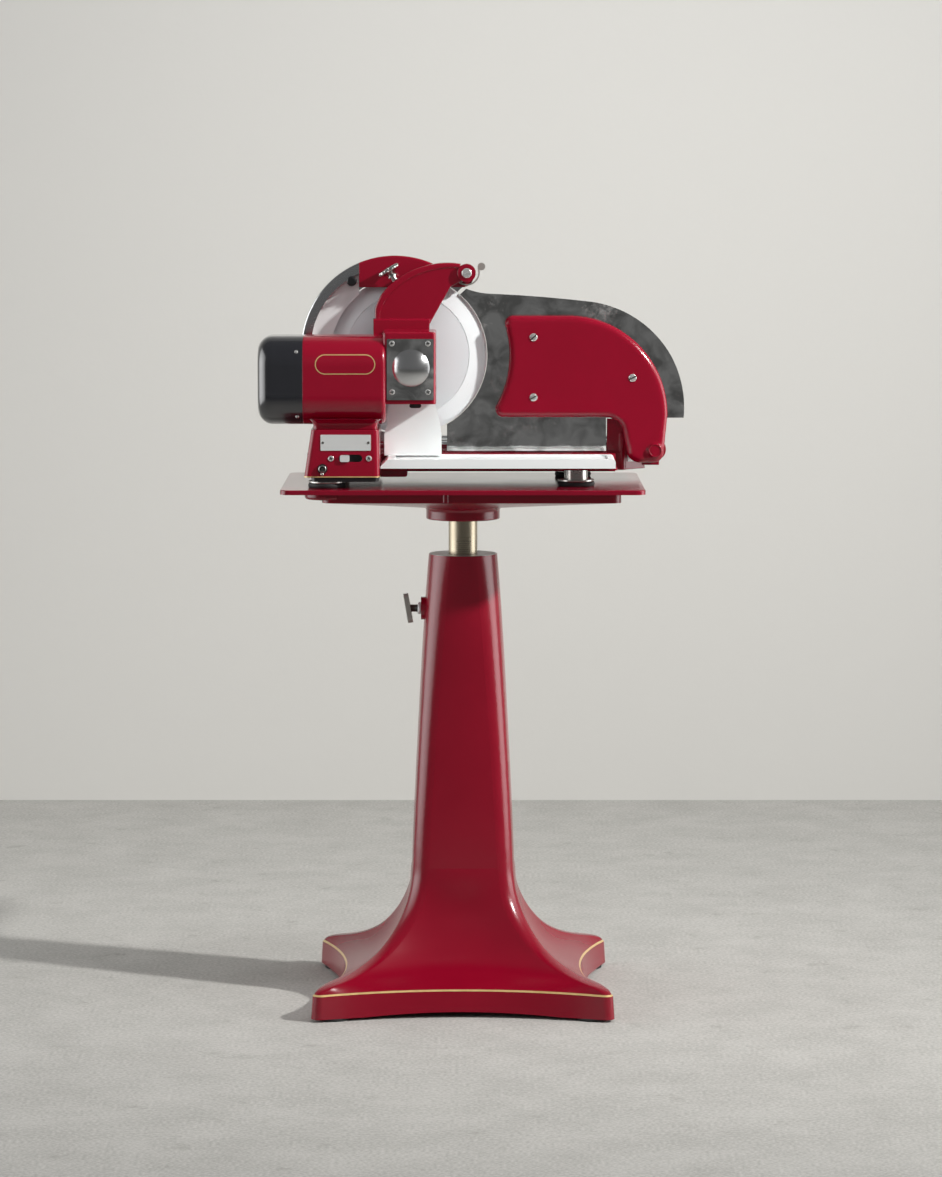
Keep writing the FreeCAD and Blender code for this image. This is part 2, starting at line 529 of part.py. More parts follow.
def ring_wire(z, r, x0, x1, y, corner):
    """Circle at height z split where the rays to the rectangle's corner arcs cross it."""
    angles = []
    for px, py in ((x1 - corner, -y), (x1, -y + corner), (x1, y - corner), (x1 - corner, y),
                   (x0 + corner, y), (x0, y - corner), (x0, -y + corner), (x0 + corner, -y)):
        angles.append(math.atan2(py, px))
    for i in range(1, len(angles)):
        while angles[i] < angles[i - 1]:
            angles[i] += 2 * math.pi
    edges = []
    for i, a in enumerate(angles):
        b = angles[i + 1] if i + 1 < len(angles) else angles[0] + 2 * math.pi
        p = [V(r * math.cos(t), r * math.sin(t), z) for t in (a, (a + b) / 2, b)]
        edges.append(arc(*p))
    return Part.Wire(edges)


def pan(inset):
    """Prism of the skirt over a frustum that runs down to the hub, inset all round."""
    x0, x1, y = SKIRT_X0 + inset, SKIRT_X1 - inset, SKIRT_Y - inset
    r = max(SKIRT_R - inset, 5.0)
    top = TABLE_TOP - TABLE_T
    rectangle = pan_wire(SKIRT_BOTTOM + inset, x0, x1, y, r)
    ring = ring_wire(PAN_Z + inset, PAN_R - inset / 2, x0, x1, y, r)
    frustum = Part.makeLoft([rectangle, ring], True, True)
    prism = Part.Face(rectangle).extrude(V(0, 0, top - SKIRT_BOTTOM - inset))
    return prism.fuse(frustum)


def table_cradle():
    """Casting under the table: skirt, sloping pan, foot bosses, ribs and bored hub."""
    top = TABLE_TOP - TABLE_T
    outer = pan(0.0)
    inner = pan(CRADLE_WALL)
    neck = cyl(HUB_NECK_R, V(0, 0, HUB_BOTTOM), Z_AXIS, top - HUB_BOTTOM)
    ribs = box(SKIRT_X0 + 1, SKIRT_X1 - 1, -CRADLE_WALL / 2, CRADLE_WALL / 2, PAN_Z, top)
    ribs = ribs.fuse(box(-CRADLE_WALL / 2, CRADLE_WALL / 2, 1 - SKIRT_Y, SKIRT_Y - 1, PAN_Z, top))
    ribs = ribs.common(inner)
    cove_z = HUB_BOTTOM + HUB_H
    profile = Part.Wire([
        line(V(0, 0, HUB_BOTTOM), V(HUB_R, 0, HUB_BOTTOM)),
        line(V(HUB_R, 0, HUB_BOTTOM), V(HUB_R, 0, cove_z)),
        arc(V(HUB_R, 0, cove_z), V(HUB_R + 3, 0, PAN_Z - 2), V(PAN_R, 0, PAN_Z + 0.5)),
        line(V(PAN_R, 0, PAN_Z + 0.5), V(PAN_R, 0, PAN_Z + CRADLE_WALL)),
        line(V(PAN_R, 0, PAN_Z + CRADLE_WALL), V(0, 0, PAN_Z + CRADLE_WALL)),
        line(V(0, 0, PAN_Z + CRADLE_WALL), V(0, 0, HUB_BOTTOM)),
    ])
    hub = Part.Face(profile).revolve(V(0, 0, 0), Z_AXIS, 360)
    hub = hub.makeFillet(2.0, face_edges(hub, Z_AXIS, HUB_BOTTOM))
    body = outer.cut(inner).fuse([neck, hub, ribs])
    for y in (FEET_FRONT_Y, FEET_REAR_Y):
        boss = cyl(FOOT_BOSS_R, V(FEET_LEFT_X, y, top - FOOT_BOSS_H), Z_AXIS, FOOT_BOSS_H)
        boss = boss.makeFillet(5.0, face_edges(boss, Z_AXIS, top - FOOT_BOSS_H))
        body = body.fuse(boss)
    body = body.fuse(cyl(SKIRT_RIB_R, V(SKIRT_RIB_X, -SKIRT_Y + 1.0, SKIRT_BOTTOM + 1.5), Z_AXIS,
                         top - SKIRT_BOTTOM - 1.5))
    body = body.cut(cyl(JOURNAL_R + FIT, V(0, 0, HUB_BOTTOM - 1), Z_AXIS, top - HUB_BOTTOM + 2))
    for turn in (0, 90):
        d = V(math.cos(math.radians(turn)), math.sin(math.radians(turn)), 0)
        body = body.cut(cyl(SET_SCREW_R, V(0, 0, HUB_BOTTOM + HUB_H / 2), d, HUB_R + 5))
    return one(body)


def stand_table():
    """Flat table plate with rounded corners and edges."""
    plate = rounded_box(-TABLE_X, TABLE_X, -TABLE_Y, TABLE_Y, TABLE_TOP - TABLE_T, TABLE_TOP,
                        TABLE_R)
    return plate.makeFillet(2.0, face_edges(plate, Z_AXIS, TABLE_TOP))


def hub_set_screws():
    """Two socket screws that hold the hub on the journal."""
    screws = {}
    for i, turn in enumerate((0, 90), 1):
        d = V(math.cos(math.radians(turn)), math.sin(math.radians(turn)), 0)
        start = d * (JOURNAL_R + GAP) + V(0, 0, HUB_BOTTOM + HUB_H / 2)
        screws[f"hub_set_screw_{i}"] = cyl(SET_SCREW_R, start, d, HUB_R - JOURNAL_R - 4)
    return screws


# ================================================================ slicer feet
def slicer_feet():
    """Rubber feet with chrome rings and studs under the machine base."""
    feet = {}
    places = (
        ("front_left", FEET_LEFT_X, FEET_FRONT_Y, COVER_BOTTOM),
        ("front_right", FEET_RIGHT_X, FEET_RIGHT_FRONT_Y, SHELF_BOTTOM),
        ("rear_left", FEET_LEFT_X, FEET_REAR_Y, COVER_BOTTOM),
        ("rear_right", FEET_RIGHT_X, FEET_REAR_Y, SHELF_BOTTOM),
    )
    rubber_h = COVER_BOTTOM - TABLE_TOP - FOOT_RING_T
    for name, x, y, top in places:
        profile = Part.Wire([
            line(V(0, 0, 0), V(FOOT_R - FOOT_BULGE, 0, 0)),
            arc(V(FOOT_R - FOOT_BULGE, 0, 0), V(FOOT_R, 0, rubber_h / 2),
                V(FOOT_R - FOOT_BULGE, 0, rubber_h)),
            line(V(FOOT_R - FOOT_BULGE, 0, rubber_h), V(0, 0, rubber_h)),
            line(V(0, 0, rubber_h), V(0, 0, 0)),
        ])
        rubber = Part.Face(profile).revolve(V(0, 0, 0), Z_AXIS, 360)
        rubber.translate(V(x, y, TABLE_TOP))
        feet[f"foot_rubber_{name}"] = rubber
        ring_z = TABLE_TOP + rubber_h
        ring = cyl(FOOT_R - 1.0, V(x, y, ring_z), Z_AXIS, FOOT_RING_T)
        ring = ring.makeFillet(1.2, face_edges(ring, Z_AXIS, ring_z))
        if top > ring_z + FOOT_RING_T + 1:
            stud_z = ring_z + FOOT_RING_T
            ring = ring.fuse(cyl(FOOT_STUD_R, V(x, y, stud_z), Z_AXIS, top - stud_z))
        feet[f"foot_ring_{name}"] = one(ring)
    return feet


# ================================================================ machine base
def tower(inset, z0, z1):
    """Tapered tower under the motor, inset all round."""
    r = max(TOWER_R - inset, 3.0)
    rows = []
    for z, lean, lean_right in ((BASE_BOTTOM, 0.0, 0.0), (TOWER_TOP, TOWER_LEAN, TOWER_LEAN_RIGHT)):
        x0, x1 = TOWER_X0 + lean + inset, TOWER_X1 - lean_right - inset
        y0, y1 = TOWER_FRONT + inset, TOWER_BACK - inset
        wire = pan_wire(z, x0, x1, (y1 - y0) / 2, r)
        wire.translate(V(0, (y0 + y1) / 2, 0))
        rows.append(wire)
    body = Part.makeLoft(rows, True, True)
    return body.common(box(TOWER_X0, TOWER_X1, TOWER_FRONT, TOWER_BACK, z0, z1))


def corner_front():
    """Front plane of the base behind the gauge casting."""
    return PLATE_FRONT + BEHIND_GAUGE


def low_body(inset, z0, z1):
    """Low part of the base: it steps back behind the gauge and has an oblique corner there."""
    front = corner_front()
    pts = [
        (TOWER_X1 - BASE_WALL, BASE_FRONT),
        (SHELF_X1, BASE_FRONT),
        (SHELF_X1, front),
        (CORNER_X, front),
        (BASE_X1, front + BASE_X1 - CORNER_X),
        (BASE_X1, BASE_BACK),
        (TOWER_X1 - BASE_WALL, BASE_BACK),
    ]
    wire = Part.makePolygon([V(x, y, z0) for x, y in pts + pts[:1]])
    if inset:
        wire = wire.makeOffset2D(-inset, 2)
    return Part.Face(wire).extrude(V(0, 0, z1 - z0))


def rear_body(inset, z0, z1):
    """Low part of the base behind the tower."""
    return rounded_box(TOWER_X0 + inset, TOWER_X1 - inset, TOWER_BACK - 2 * TOWER_R + inset,
                       BASE_BACK - inset, z0, z1, max(TOWER_R - inset, 3.0))


def rod_lugs():
    """Two upright lugs that hold the ends of the carriage rods."""
    lugs = []
    for x0 in (ROD_X0, ROD_X1 - LUG_T):
        lug = box(x0, x0 + LUG_T, RAIL_Y - RAIL_R - LUG_EDGE, ROD_Y + ROD_R + LUG_EDGE,
                  BASE_TOP - BASE_WALL, LUG_TOP)
        top = edges_along(lug, X_AXIS, lambda p: abs(p.z - LUG_TOP) < 0.01)
        lugs.append(lug.makeFillet(LUG_TOP_R, top))
    return lugs


def gauge_bush():
    """Long bush for the gauge shaft, the foot that carries it and the web beside it."""
    r = GAUGE_SHAFT_R + FIT + BUSH_WALL
    y0 = PLATE_FRONT + 2 * GAP
    y1 = y0 + BUSH_LEN
    bush = disc_y(LOBE_X, LOBE_Z, r, y0, y1)
    foot = box(BASE_X1 - r, LOBE_X + r / 2, y1 - BUSH_FOOT_T, y1, BASE_BOTTOM + BASE_WALL, LOBE_Z)
    web_y = corner_front() + 1
    web = box(PLATE_LOW_X1 + WEB_OFF_PLATE, CORNER_X + PILLAR_R, web_y, web_y + WEB_T,
              BASE_TOP - 1, PLATE_STEP_Z - WEB_OFF_PLATE)
    web = web.makeFillet(WEB_R, edges_along(web, Y_AXIS, lambda p: p.z > BASE_TOP and p.x > CORNER_X))
    rear_y = BASE_BACK - INDEX_BEARING
    rear_boss = disc_y(LOBE_X, LOBE_Z, INDEX_SHAFT_R + INDEX_WALL, rear_y, BASE_BACK)
    rear_foot = box(BASE_X1 - INDEX_WALL, LOBE_X + INDEX_SHAFT_R, rear_y, BASE_BACK,
                    BASE_BOTTOM + BASE_WALL, LOBE_Z)
    return [bush, foot, web, rear_boss, rear_foot]


def corner_pillar():
    """Domed pillar at the start of the oblique corner."""
    at = V(CORNER_X, corner_front() - PILLAR_PROUD + PILLAR_R, 0)
    pillar = cyl(PILLAR_R, at + V(0, 0, BASE_BOTTOM), Z_AXIS, PILLAR_TOP - BASE_BOTTOM)
    return [pillar, Part.makeSphere(PILLAR_R, at + V(0, 0, PILLAR_TOP))]


def machine_base():
    """Base casting: motor tower, tray shelf, low body, gauge bush and rod lugs, hollow below."""
    shelf_top = SHELF_BOTTOM + SHELF_T
    ceiling = BASE_TOP - BASE_WALL
    shelf = box(TOWER_X1 - 1, SHELF_X1, SHELF_FRONT, BASE_FRONT + 1, SHELF_BOTTOM, shelf_top)
    shelf = shelf.makeFillet(SHELF_R, edges_along(shelf, Z_AXIS, lambda p: p.x > 0 and p.y < BASE_FRONT))
    lug = box(TOWER_X1 - 1, TOWER_X1 + SHELF_LUG_W, SHELF_FRONT + 10, SHELF_FRONT + 10 + SHELF_LUG_DEPTH,
              SHELF_BOTTOM - SHELF_LUG_DROP, shelf_top - 1)
    lug = lug.makeFillet(4.0, edges_along(lug, Y_AXIS, lambda p: p.x > TOWER_X1 and p.z < SHELF_BOTTOM))
    body = tower(0.0, BASE_BOTTOM, TOWER_TOP).fuse([
        low_body(0.0, BASE_BOTTOM, BASE_TOP), rear_body(0.0, BASE_BOTTOM, BASE_TOP), shelf, lug])
    body = body.cut([
        tower(BASE_WALL, BASE_BOTTOM - 1, TOWER_TOP - BASE_WALL),
        low_body(BASE_WALL, BASE_BOTTOM - 1, ceiling),
        rear_body(BASE_WALL, BASE_BOTTOM - 1, ceiling),
    ])
    stud_boss = cyl(FOOT_STUD_R, V(FEET_RIGHT_X, FEET_REAR_Y, SHELF_BOTTOM), Z_AXIS,
                    BASE_TOP - SHELF_BOTTOM - 1)
    body = body.fuse(gauge_bush() + corner_pillar() + rod_lugs() + [stud_boss])
    index_y = BASE_BACK - INDEX_BEARING
    return one(body.cut([
        cyl(ROD_R, V(ROD_X0 - 1, ROD_Y, ROD_Z), X_AXIS, ROD_X1 - ROD_X0 + 2),
        cyl(RAIL_R, V(ROD_X0 - 1, RAIL_Y, ROD_Z), X_AXIS, ROD_X1 - ROD_X0 + 2),
        disc_y(LOBE_X, LOBE_Z, GAUGE_SHAFT_R + FIT, PLATE_FRONT, PLATE_FRONT + BUSH_LEN + 2),
        disc_y(LOBE_X, LOBE_Z, INDEX_SHAFT_R + FIT, index_y - 1, BASE_BACK + 1),
        switch_slot(TOWER_FRONT - 1, TOWER_FRONT + BASE_WALL + 1),
        disc_y(TOGGLE_X, TOGGLE_Z, TOGGLE_R - TOGGLE_NECK, TOWER_FRONT - 1, TOWER_FRONT + BASE_WALL + 1),
        disc_y(GLAND_X, GLAND_Z, GLAND_R, BASE_BACK - BASE_WALL - 1, BASE_BACK + 1),
    ]))


def switch_slot(y0, y1):
    """Long hole with round ends in the tower's front wall."""
    h = SWITCH_HALF
    x0, x1 = SWITCH_X0 + h, SWITCH_X1 - h
    slot = box(x0, x1, y0, y1, SWITCH_Z - h, SWITCH_Z + h)
    return slot.fuse([disc_y(x0, SWITCH_Z, h, y0, y1), disc_y(x1, SWITCH_Z, h, y0, y1)])


def base_bottom_cover():
    """Black cover that closes the tower below."""
    return rounded_box(TOWER_X0 + TOWER_LEAN, TOWER_X1 - 2, TOWER_FRONT + 2, BASE_BACK - 2,
                       COVER_BOTTOM, BASE_BOTTOM, TOWER_R)


def rating_plate():
    """Bare plate on the tower's front."""
    return rounded_box(RATING_X0, RATING_X1, TOWER_FRONT - RATING_T, TOWER_FRONT, RATING_Z0, RATING_Z1,
                       1.5, Y_AXIS)


def switch_body():
    """Body of the slide switch behind the tower's wall."""
    m, y = SWITCH_BODY_MARGIN, TOWER_FRONT + BASE_WALL
    return box(SWITCH_X0 - m, SWITCH_X1 + m, y, y + SWITCH_BODY_T, SWITCH_Z - SWITCH_HALF - m,
               SWITCH_Z + SWITCH_HALF + m)


def switch_slider():
    """Slider of the switch at the left end of its slot."""
    x0, h = SWITCH_X0 + 2, SWITCH_HALF - 2 * GAP
    slider = box(x0, x0 + SLIDER_LEN, TOWER_FRONT - SLIDER_PROUD, TOWER_FRONT + BASE_WALL - GAP,
                 SWITCH_Z - h, SWITCH_Z + h)
    return slider.makeFillet(SLIDER_R, edges_along(slider, Y_AXIS))


def toggle_bezel():
    """Threaded bezel of the toggle switch."""
    y0, y1 = TOWER_FRONT - TOGGLE_PROUD, TOWER_FRONT + BASE_WALL
    bezel = disc_y(TOGGLE_X, TOGGLE_Z, TOGGLE_R, y0, TOWER_FRONT)
    bezel = bezel.fuse(disc_y(TOGGLE_X, TOGGLE_Z, TOGGLE_R - TOGGLE_NECK, TOWER_FRONT, y1))
    return one(bezel.cut(disc_y(TOGGLE_X, TOGGLE_Z, TOGGLE_R - TOGGLE_MOUTH, y0 - 1, y1 + 1)))


def toggle_lever():
    """Bat of the toggle switch, pointing down."""
    root = V(TOGGLE_X, TOWER_FRONT - 1, TOGGLE_Z)
    drop = math.radians(BAT_DROP)
    d = V(0, -math.cos(drop), -math.sin(drop))
    bat = Part.makeCone(BAT_R0, BAT_R1, BAT_LEN, root, d)
    bat = bat.fuse([Part.makeSphere(BAT_R1, root + d * BAT_LEN), Part.makeSphere(BAT_R1 - GAP, root)])
    return one(bat)


def cable_gland():
    """Gland behind the tower where a mains lead enters."""
    nut = disc_y(GLAND_X, GLAND_Z, GLAND_NUT_R, BASE_BACK, BASE_BACK + GLAND_NUT_T)
    tail = Part.makeCone(GLAND_R + 1, GLAND_BORE + 2.5, GLAND_TAIL,
                         V(GLAND_X, BASE_BACK + GLAND_NUT_T, GLAND_Z), Y_AXIS)
    neck = disc_y(GLAND_X, GLAND_Z, GLAND_R, BASE_BACK - BASE_WALL, BASE_BACK)
    bore = disc_y(GLAND_X, GLAND_Z, GLAND_BORE, BASE_BACK - BASE_WALL - 1,
                  BASE_BACK + GLAND_NUT_T + GLAND_TAIL + 1)
    return one(nut.fuse([tail, neck]).cut(bore))


def corner_plate():
    """Bright plate on the oblique corner of the base."""
    along = V(1, 1, 0).normalize()
    out = V(1, -1, 0).normalize() * CORNER_PLATE_T
    corner = V(CORNER_X, corner_front(), SHELF_BOTTOM + SHELF_T)
    start = corner + along * (2 * PILLAR_R)
    end = corner + along * ((BASE_X1 - CORNER_X) * math.sqrt(2) - CORNER_PLATE_SHORT)
    face = Part.Face(Part.makePolygon([start, end, end + out, start + out, start]))
    return face.extrude(V(0, 0, CORNER_PLATE_H))


# ================================================================ motor, gear case and arm
def arm():
    """Arm from the gear case up to the pin boss, with soft front edges."""
    root = CASE_Z1 - 10
    ridge = [polar(KNIFE_X, KNIFE_Z, KNIFE_R + out, turn) for out, turn in ARM_RIDGE]
    shoulder = (ARM_ROOT_X0, CASE_Z1 + ARM_ROOT_H)
    step = (ARM_ROOT_X1, CASE_Z1 + ARM_ROOT_STEP)
    crook = (PIN_X - 1.8 * PIN_BOSS_R, PIN_Z - 1.53 * PIN_BOSS_R)
    neck_x = PIN_X - PIN_BOSS_R * 2 / 3
    steps = [
        (ARM_ROOT_X1, root), step, crook,
        (neck_x, PIN_Z - PIN_BOSS_R + 1),
        (neck_x, PIN_Z + PIN_BOSS_R),
        (ridge[0], ridge[1]),
        (ridge[2], ridge[3]),
        shoulder, (ARM_ROOT_X0, root),
    ]
    body = prism_y(outline_xz(steps), ARM_FRONT, ARM_BACK)
    body = soften(body, Y_AXIS, [(*crook, ARM_CROOK_R), (*step, ARM_STEP_R), (*ridge[3], ARM_RIDGE_R),
                                 (*shoulder, ARM_SHOULDER_R)])
    field = body.copy()
    field.translate(V(ARM_BORDER, 0, -ARM_BORDER))
    body = body.makeFillet(ARM_EDGE_R, [e for e in face_edges(body, Y_AXIS, ARM_FRONT)
                                        if e.CenterOfMass.z > root + 1])
    return body.cut(field.common(box(ARM_ROOT_X0, PIN_X, ARM_FRONT - 1, ARM_FRONT + ARM_BORDER_DEPTH,
                                     COLLAR_TOP, PIN_Z + PIN_BOSS_R)))


def motor_neck():
    """Neck under the motor whose sides curve out to the motor's underside."""
    x0, x1 = TOWER_X0 + TOWER_LEAN + NECK_IN, TOWER_X1 - TOWER_LEAN_RIGHT - NECK_IN
    y0, y1 = MOTOR_Y0 + NECK_FRONT_IN, MOTOR_Y1 - NECK_BACK_IN
    rows = []
    for step in range(5):
        a = math.pi / 2 * step / 4
        rows.append((TOWER_TOP + NECK_COVE * (0.5 + math.sin(a)), NECK_COVE * (1 - math.cos(a))))
    rows.insert(0, (TOWER_TOP, 0.0))
    wires = []
    for z, spread in rows:
        wire = pan_wire(z, x0 - spread, x1 + min(spread, -x1 + MOTOR_X1), (y1 - y0) / 2 + spread,
                        TOWER_R + spread)
        wire.translate(V(0, (y0 + y1) / 2, 0))
        wires.append(wire)
    return Part.makeLoft(wires, True, True)


def gear_case():
    """Case beside the motor, with its screw bosses and the knife's long bearing, open to the front."""
    case = rounded_box(CASE_X0, CASE_X1, CASE_Y0, CASE_Y1, CASE_Z0, CASE_Z1, CASE_R)
    case = case.makeFillet(3.0, face_edges(case, Z_AXIS, CASE_Z1))
    x0, x1, z0, z1 = cover_outline()
    m = COVER_LAND
    inside = rounded_box(x0 + m, x1 - m, CASE_Y0 - 1, CASE_Y1 - HEAD_WALL, z0 + m, z1 - m, m, Y_AXIS)
    bosses = []
    for x in (x0 + COVER_SCREW_IN, x1 - COVER_SCREW_IN):
        for z in (z0 + COVER_SCREW_IN + m, z1 - COVER_SCREW_IN):
            bosses.append(disc_y(x, z, COVER_SCREW_BOSS_R, CASE_Y0, CASE_Y0 + COVER_SCREW_BOSS_LEN))
    bearing = disc_y(KNIFE_X, KNIFE_Z, BEARING_R, CASE_Y1 - BEARING_LEN, CASE_Y1)
    return case, inside, bosses + [bearing]


def motor_hollow(x0, x1, wall):
    """Inside of the motor's housing between two planes across X."""
    return rounded_box(x0, x1, MOTOR_Y0 + wall, MOTOR_Y1 - wall, MOTOR_Z0 + wall, MOTOR_Z1 - wall,
                       MOTOR_R - wall, X_AXIS)


def head_casting():
    """Motor housing, gear case and the arm over the knife in one hollow casting."""
    motor = rounded_box(MOTOR_X0, MOTOR_X1, MOTOR_Y0, MOTOR_Y1, MOTOR_Z0, MOTOR_Z1, MOTOR_R, X_AXIS)
    motor = motor.makeFillet(MOTOR_END_R, face_edges(motor, X_AXIS, MOTOR_X1))
    case, case_inside, case_bosses = gear_case()
    hub = disc_y(KNIFE_X, KNIFE_Z, HUB_FLANGE_R - 3, CASE_Y1 - 1, KNIFE_FACE_Y - HUB_FLANGE_T)
    boss = disc_y(PIN_X, PIN_Z, PIN_BOSS_R, ARM_FRONT - PIN_BOSS_PROUD, ARM_BACK)
    collar = box(ARM_ROOT_X0 - COLLAR_SIDE, ARM_ROOT_X1 + COLLAR_SIDE, ARM_FRONT - COLLAR_PROUD, ARM_BACK,
                 CASE_Z1 - 12, COLLAR_TOP)
    collar = collar.makeFillet(3.0, edges_along(collar, X_AXIS, lambda p: p.z > COLLAR_TOP - 1))
    body = motor.fuse([motor_neck(), case, hub])
    body = body.fuse([arm().fuse(boss), collar])
    body = body.cut([motor_hollow(MOTOR_X0 - 1, MOTOR_X1 - HEAD_WALL, HEAD_WALL), case_inside])
    body = body.fuse(case_bosses)
    d = clamp_direction()
    return one(body.cut([
        disc_y(KNIFE_X, KNIFE_Z, SHAFT_R + FIT, CASE_Y1 - BEARING_LEN - 1, KNIFE_FACE_Y),
        disc_y(PIN_X, PIN_Z, PIN_R, ARM_FRONT - PIN_BOSS_PROUD - 1, ARM_BACK + 1),
        cyl(MOTOR_SHAFT_R + FIT, V(MOTOR_X1 - HEAD_WALL - 1, MOTOR_Y, MOTOR_Z), X_AXIS,
            CASE_X1 - MOTOR_SHAFT_SEAT - MOTOR_X1 + HEAD_WALL + 1),
        cyl(CLAMP_STEM_R + FIT, CLAMP_FOOT - d * (CLAMP_SUNK + 0.5), d, CLAMP_BORE),
    ]))


def clamp_direction():
    """Axis of the clamp knob."""
    a = math.radians(CLAMP_ANGLE)
    return V(math.cos(a), 0, math.sin(a))


def motor_end_cap():
    """Domed black cap on the motor's free end."""
    end = MOTOR_X0 - CAP_LEN
    cap = rounded_box(end, MOTOR_X0, MOTOR_Y0, MOTOR_Y1, MOTOR_Z0, MOTOR_Z1, MOTOR_R, X_AXIS)
    cap = cap.makeFillet(CAP_R, face_edges(cap, X_AXIS, end))
    inside = motor_hollow(end + CAP_WALL, MOTOR_X0 + 1, CAP_WALL)
    return cap.cut(inside.makeFillet(CAP_R - CAP_WALL, face_edges(inside, X_AXIS, end + CAP_WALL)))


def motor_stator():
    """Stator of the motor with a bearing shield at each end, held in the housing."""
    r = (MOTOR_Y1 - MOTOR_Y0) / 2 - HEAD_WALL - FIT
    length = STATOR_X1 - STATOR_X0
    start = V(STATOR_X0, MOTOR_Y, MOTOR_Z)
    shield = X_AXIS * STATOR_SHIELD
    return cyl(r, start, X_AXIS, length).cut([
        cyl(STATOR_BORE_R, start + shield, X_AXIS, length - 2 * STATOR_SHIELD),
        cyl(MOTOR_SHAFT_R + FIT, start - X_AXIS, X_AXIS, length + 2)])


def worm_shaft():
    """Motor shaft with its rotor and the worm that drives the knife's wheel."""
    at = V(0, MOTOR_Y, MOTOR_Z)
    x0, x1 = STATOR_X0 + STATOR_SHIELD + 2 * AIR_GAP, STATOR_X1 - STATOR_SHIELD - 2 * AIR_GAP
    end = CASE_X1 - MOTOR_SHAFT_SEAT - GAP
    rotor = cyl(STATOR_BORE_R - AIR_GAP, at + V(x0, 0, 0), X_AXIS, x1 - x0)
    shaft = cyl(MOTOR_SHAFT_R, at + V(MOTOR_SHAFT_X0, 0, 0), X_AXIS, end - MOTOR_SHAFT_X0)
    worm = cyl(WORM_R, at + V(KNIFE_X - WORM_HALF, 0, 0), X_AXIS, 2 * WORM_HALF)
    rings = []
    for i in range(int(2 * WORM_HALF / WORM_PITCH)):
        x = KNIFE_X - WORM_HALF + (i + 0.5) * WORM_PITCH
        rings.append(Part.makeTorus(WORM_R, WORM_DEPTH, at + V(x, 0, 0), X_AXIS))
    return one(rotor.fuse([shaft, worm.cut(rings)]))


def worm_wheel():
    """Toothed wheel on the knife's spindle, over the worm."""
    y0, y1 = MOTOR_Y - WHEEL_W / 2, MOTOR_Y + WHEEL_W / 2
    notches = []
    for i in range(WHEEL_TEETH):
        x, z = polar(KNIFE_X, KNIFE_Z, WHEEL_R, 360 * i / WHEEL_TEETH)
        notches.append(disc_y(x, z, WHEEL_NOTCH_R, y0 - 1, y1 + 1))
    return disc_y(KNIFE_X, KNIFE_Z, WHEEL_R, y0, y1).cut([disc_y(KNIFE_X, KNIFE_Z, SHAFT_R, y0 - 1, y1 + 1)]
                                                          + notches)


def cover_outline():
    """Edges x0, x1, z0, z1 of the gear cover."""
    m = COVER_MARGIN
    return CASE_X0 + m, CASE_X1 - m / 2, CASE_Z0 + m, CASE_Z1 - COVER_TOP_MARGIN


def gear_cover():
    """Bright cover plate on the gear case."""
    x0, x1, z0, z1 = cover_outline()
    return rounded_box(x0, x1, CASE_Y0 - COVER_T, CASE_Y0, z0, z1, 2.0, Y_AXIS)


def sight_dome():
    """Polished dome on the gear cover."""
    y = CASE_Y0 - COVER_T
    r = (DOME_R ** 2 + DOME_H ** 2) / (2 * DOME_H)
    ball = Part.makeSphere(r, V(DOME_X, y - DOME_H + r, DOME_Z))
    return one(ball.common(disc_y(DOME_X, DOME_Z, DOME_R + 1, y - DOME_H - 1, y)))


def clamp_knob():
    """Scalloped clamp knob on its screw, set into the arm's upper edge."""
    d = clamp_direction()
    stem = cyl(CLAMP_STEM_R, CLAMP_FOOT - d * CLAMP_SUNK, d, CLAMP_STEM_LEN + CLAMP_SUNK + 1)
    flange = cyl(CLAMP_STEM_R + 3, CLAMP_FOOT + d * CLAMP_FLANGE_AT, d, CLAMP_FLANGE_T)
    side = d.cross(Y_AXIS)
    head_at = CLAMP_FOOT + d * CLAMP_STEM_LEN
    cone = Part.makeCone(CLAMP_STEM_R + 1, CLAMP_R * 0.6, CLAMP_CONE, head_at - d * CLAMP_CONE, d)
    head = cyl(CLAMP_R, head_at, d, CLAMP_T).fuse(cone)
    notches = []
    for i in range(CLAMP_NOTCHES):
        a = 2 * math.pi * i / CLAMP_NOTCHES
        radial = side * math.cos(a) + Y_AXIS * math.sin(a)
        notches.append(cyl(CLAMP_NOTCH_R, head_at + radial * (CLAMP_R + 0.6) - d, d, CLAMP_T + 2))
    return one(head.cut(notches).fuse([stem, flange]))


# ================================================================ knife
def knife_shaft():
    """Spindle that carries the knife."""
    end = KNIFE_FACE_Y - HUB_FLANGE_T + GAP
    shaft = disc_y(KNIFE_X, KNIFE_Z, SHAFT_R, end - SHAFT_LEN, KNIFE_FACE_Y + 1)
    flange = disc_y(KNIFE_X, KNIFE_Z, HUB_FLANGE_R, end, KNIFE_FACE_Y)
    return one(shaft.fuse(flange))


def knife():
    """Dished disc with a wide bevel on the receiving side."""
    back = KNIFE_FACE_Y + KNIFE_T
    pts = [V(SHAFT_R, KNIFE_FACE_Y, 0), V(KNIFE_FACE_R, KNIFE_FACE_Y, 0),
           V(KNIFE_R, KNIFE_EDGE_Y, 0), V(KNIFE_R, KNIFE_EDGE_Y + 0.4, 0),
           V(KNIFE_FACE_R + 8, back + 4.5, 0), V(KNIFE_FACE_R - 8, back, 0), V(SHAFT_R, back, 0)]
    face = Part.Face(Part.makePolygon(pts + [pts[0]]))
    disc = face.revolve(V(0, 0, 0), Y_AXIS, 360)
    disc.translate(V(KNIFE_X, 0, KNIFE_Z))
    return disc


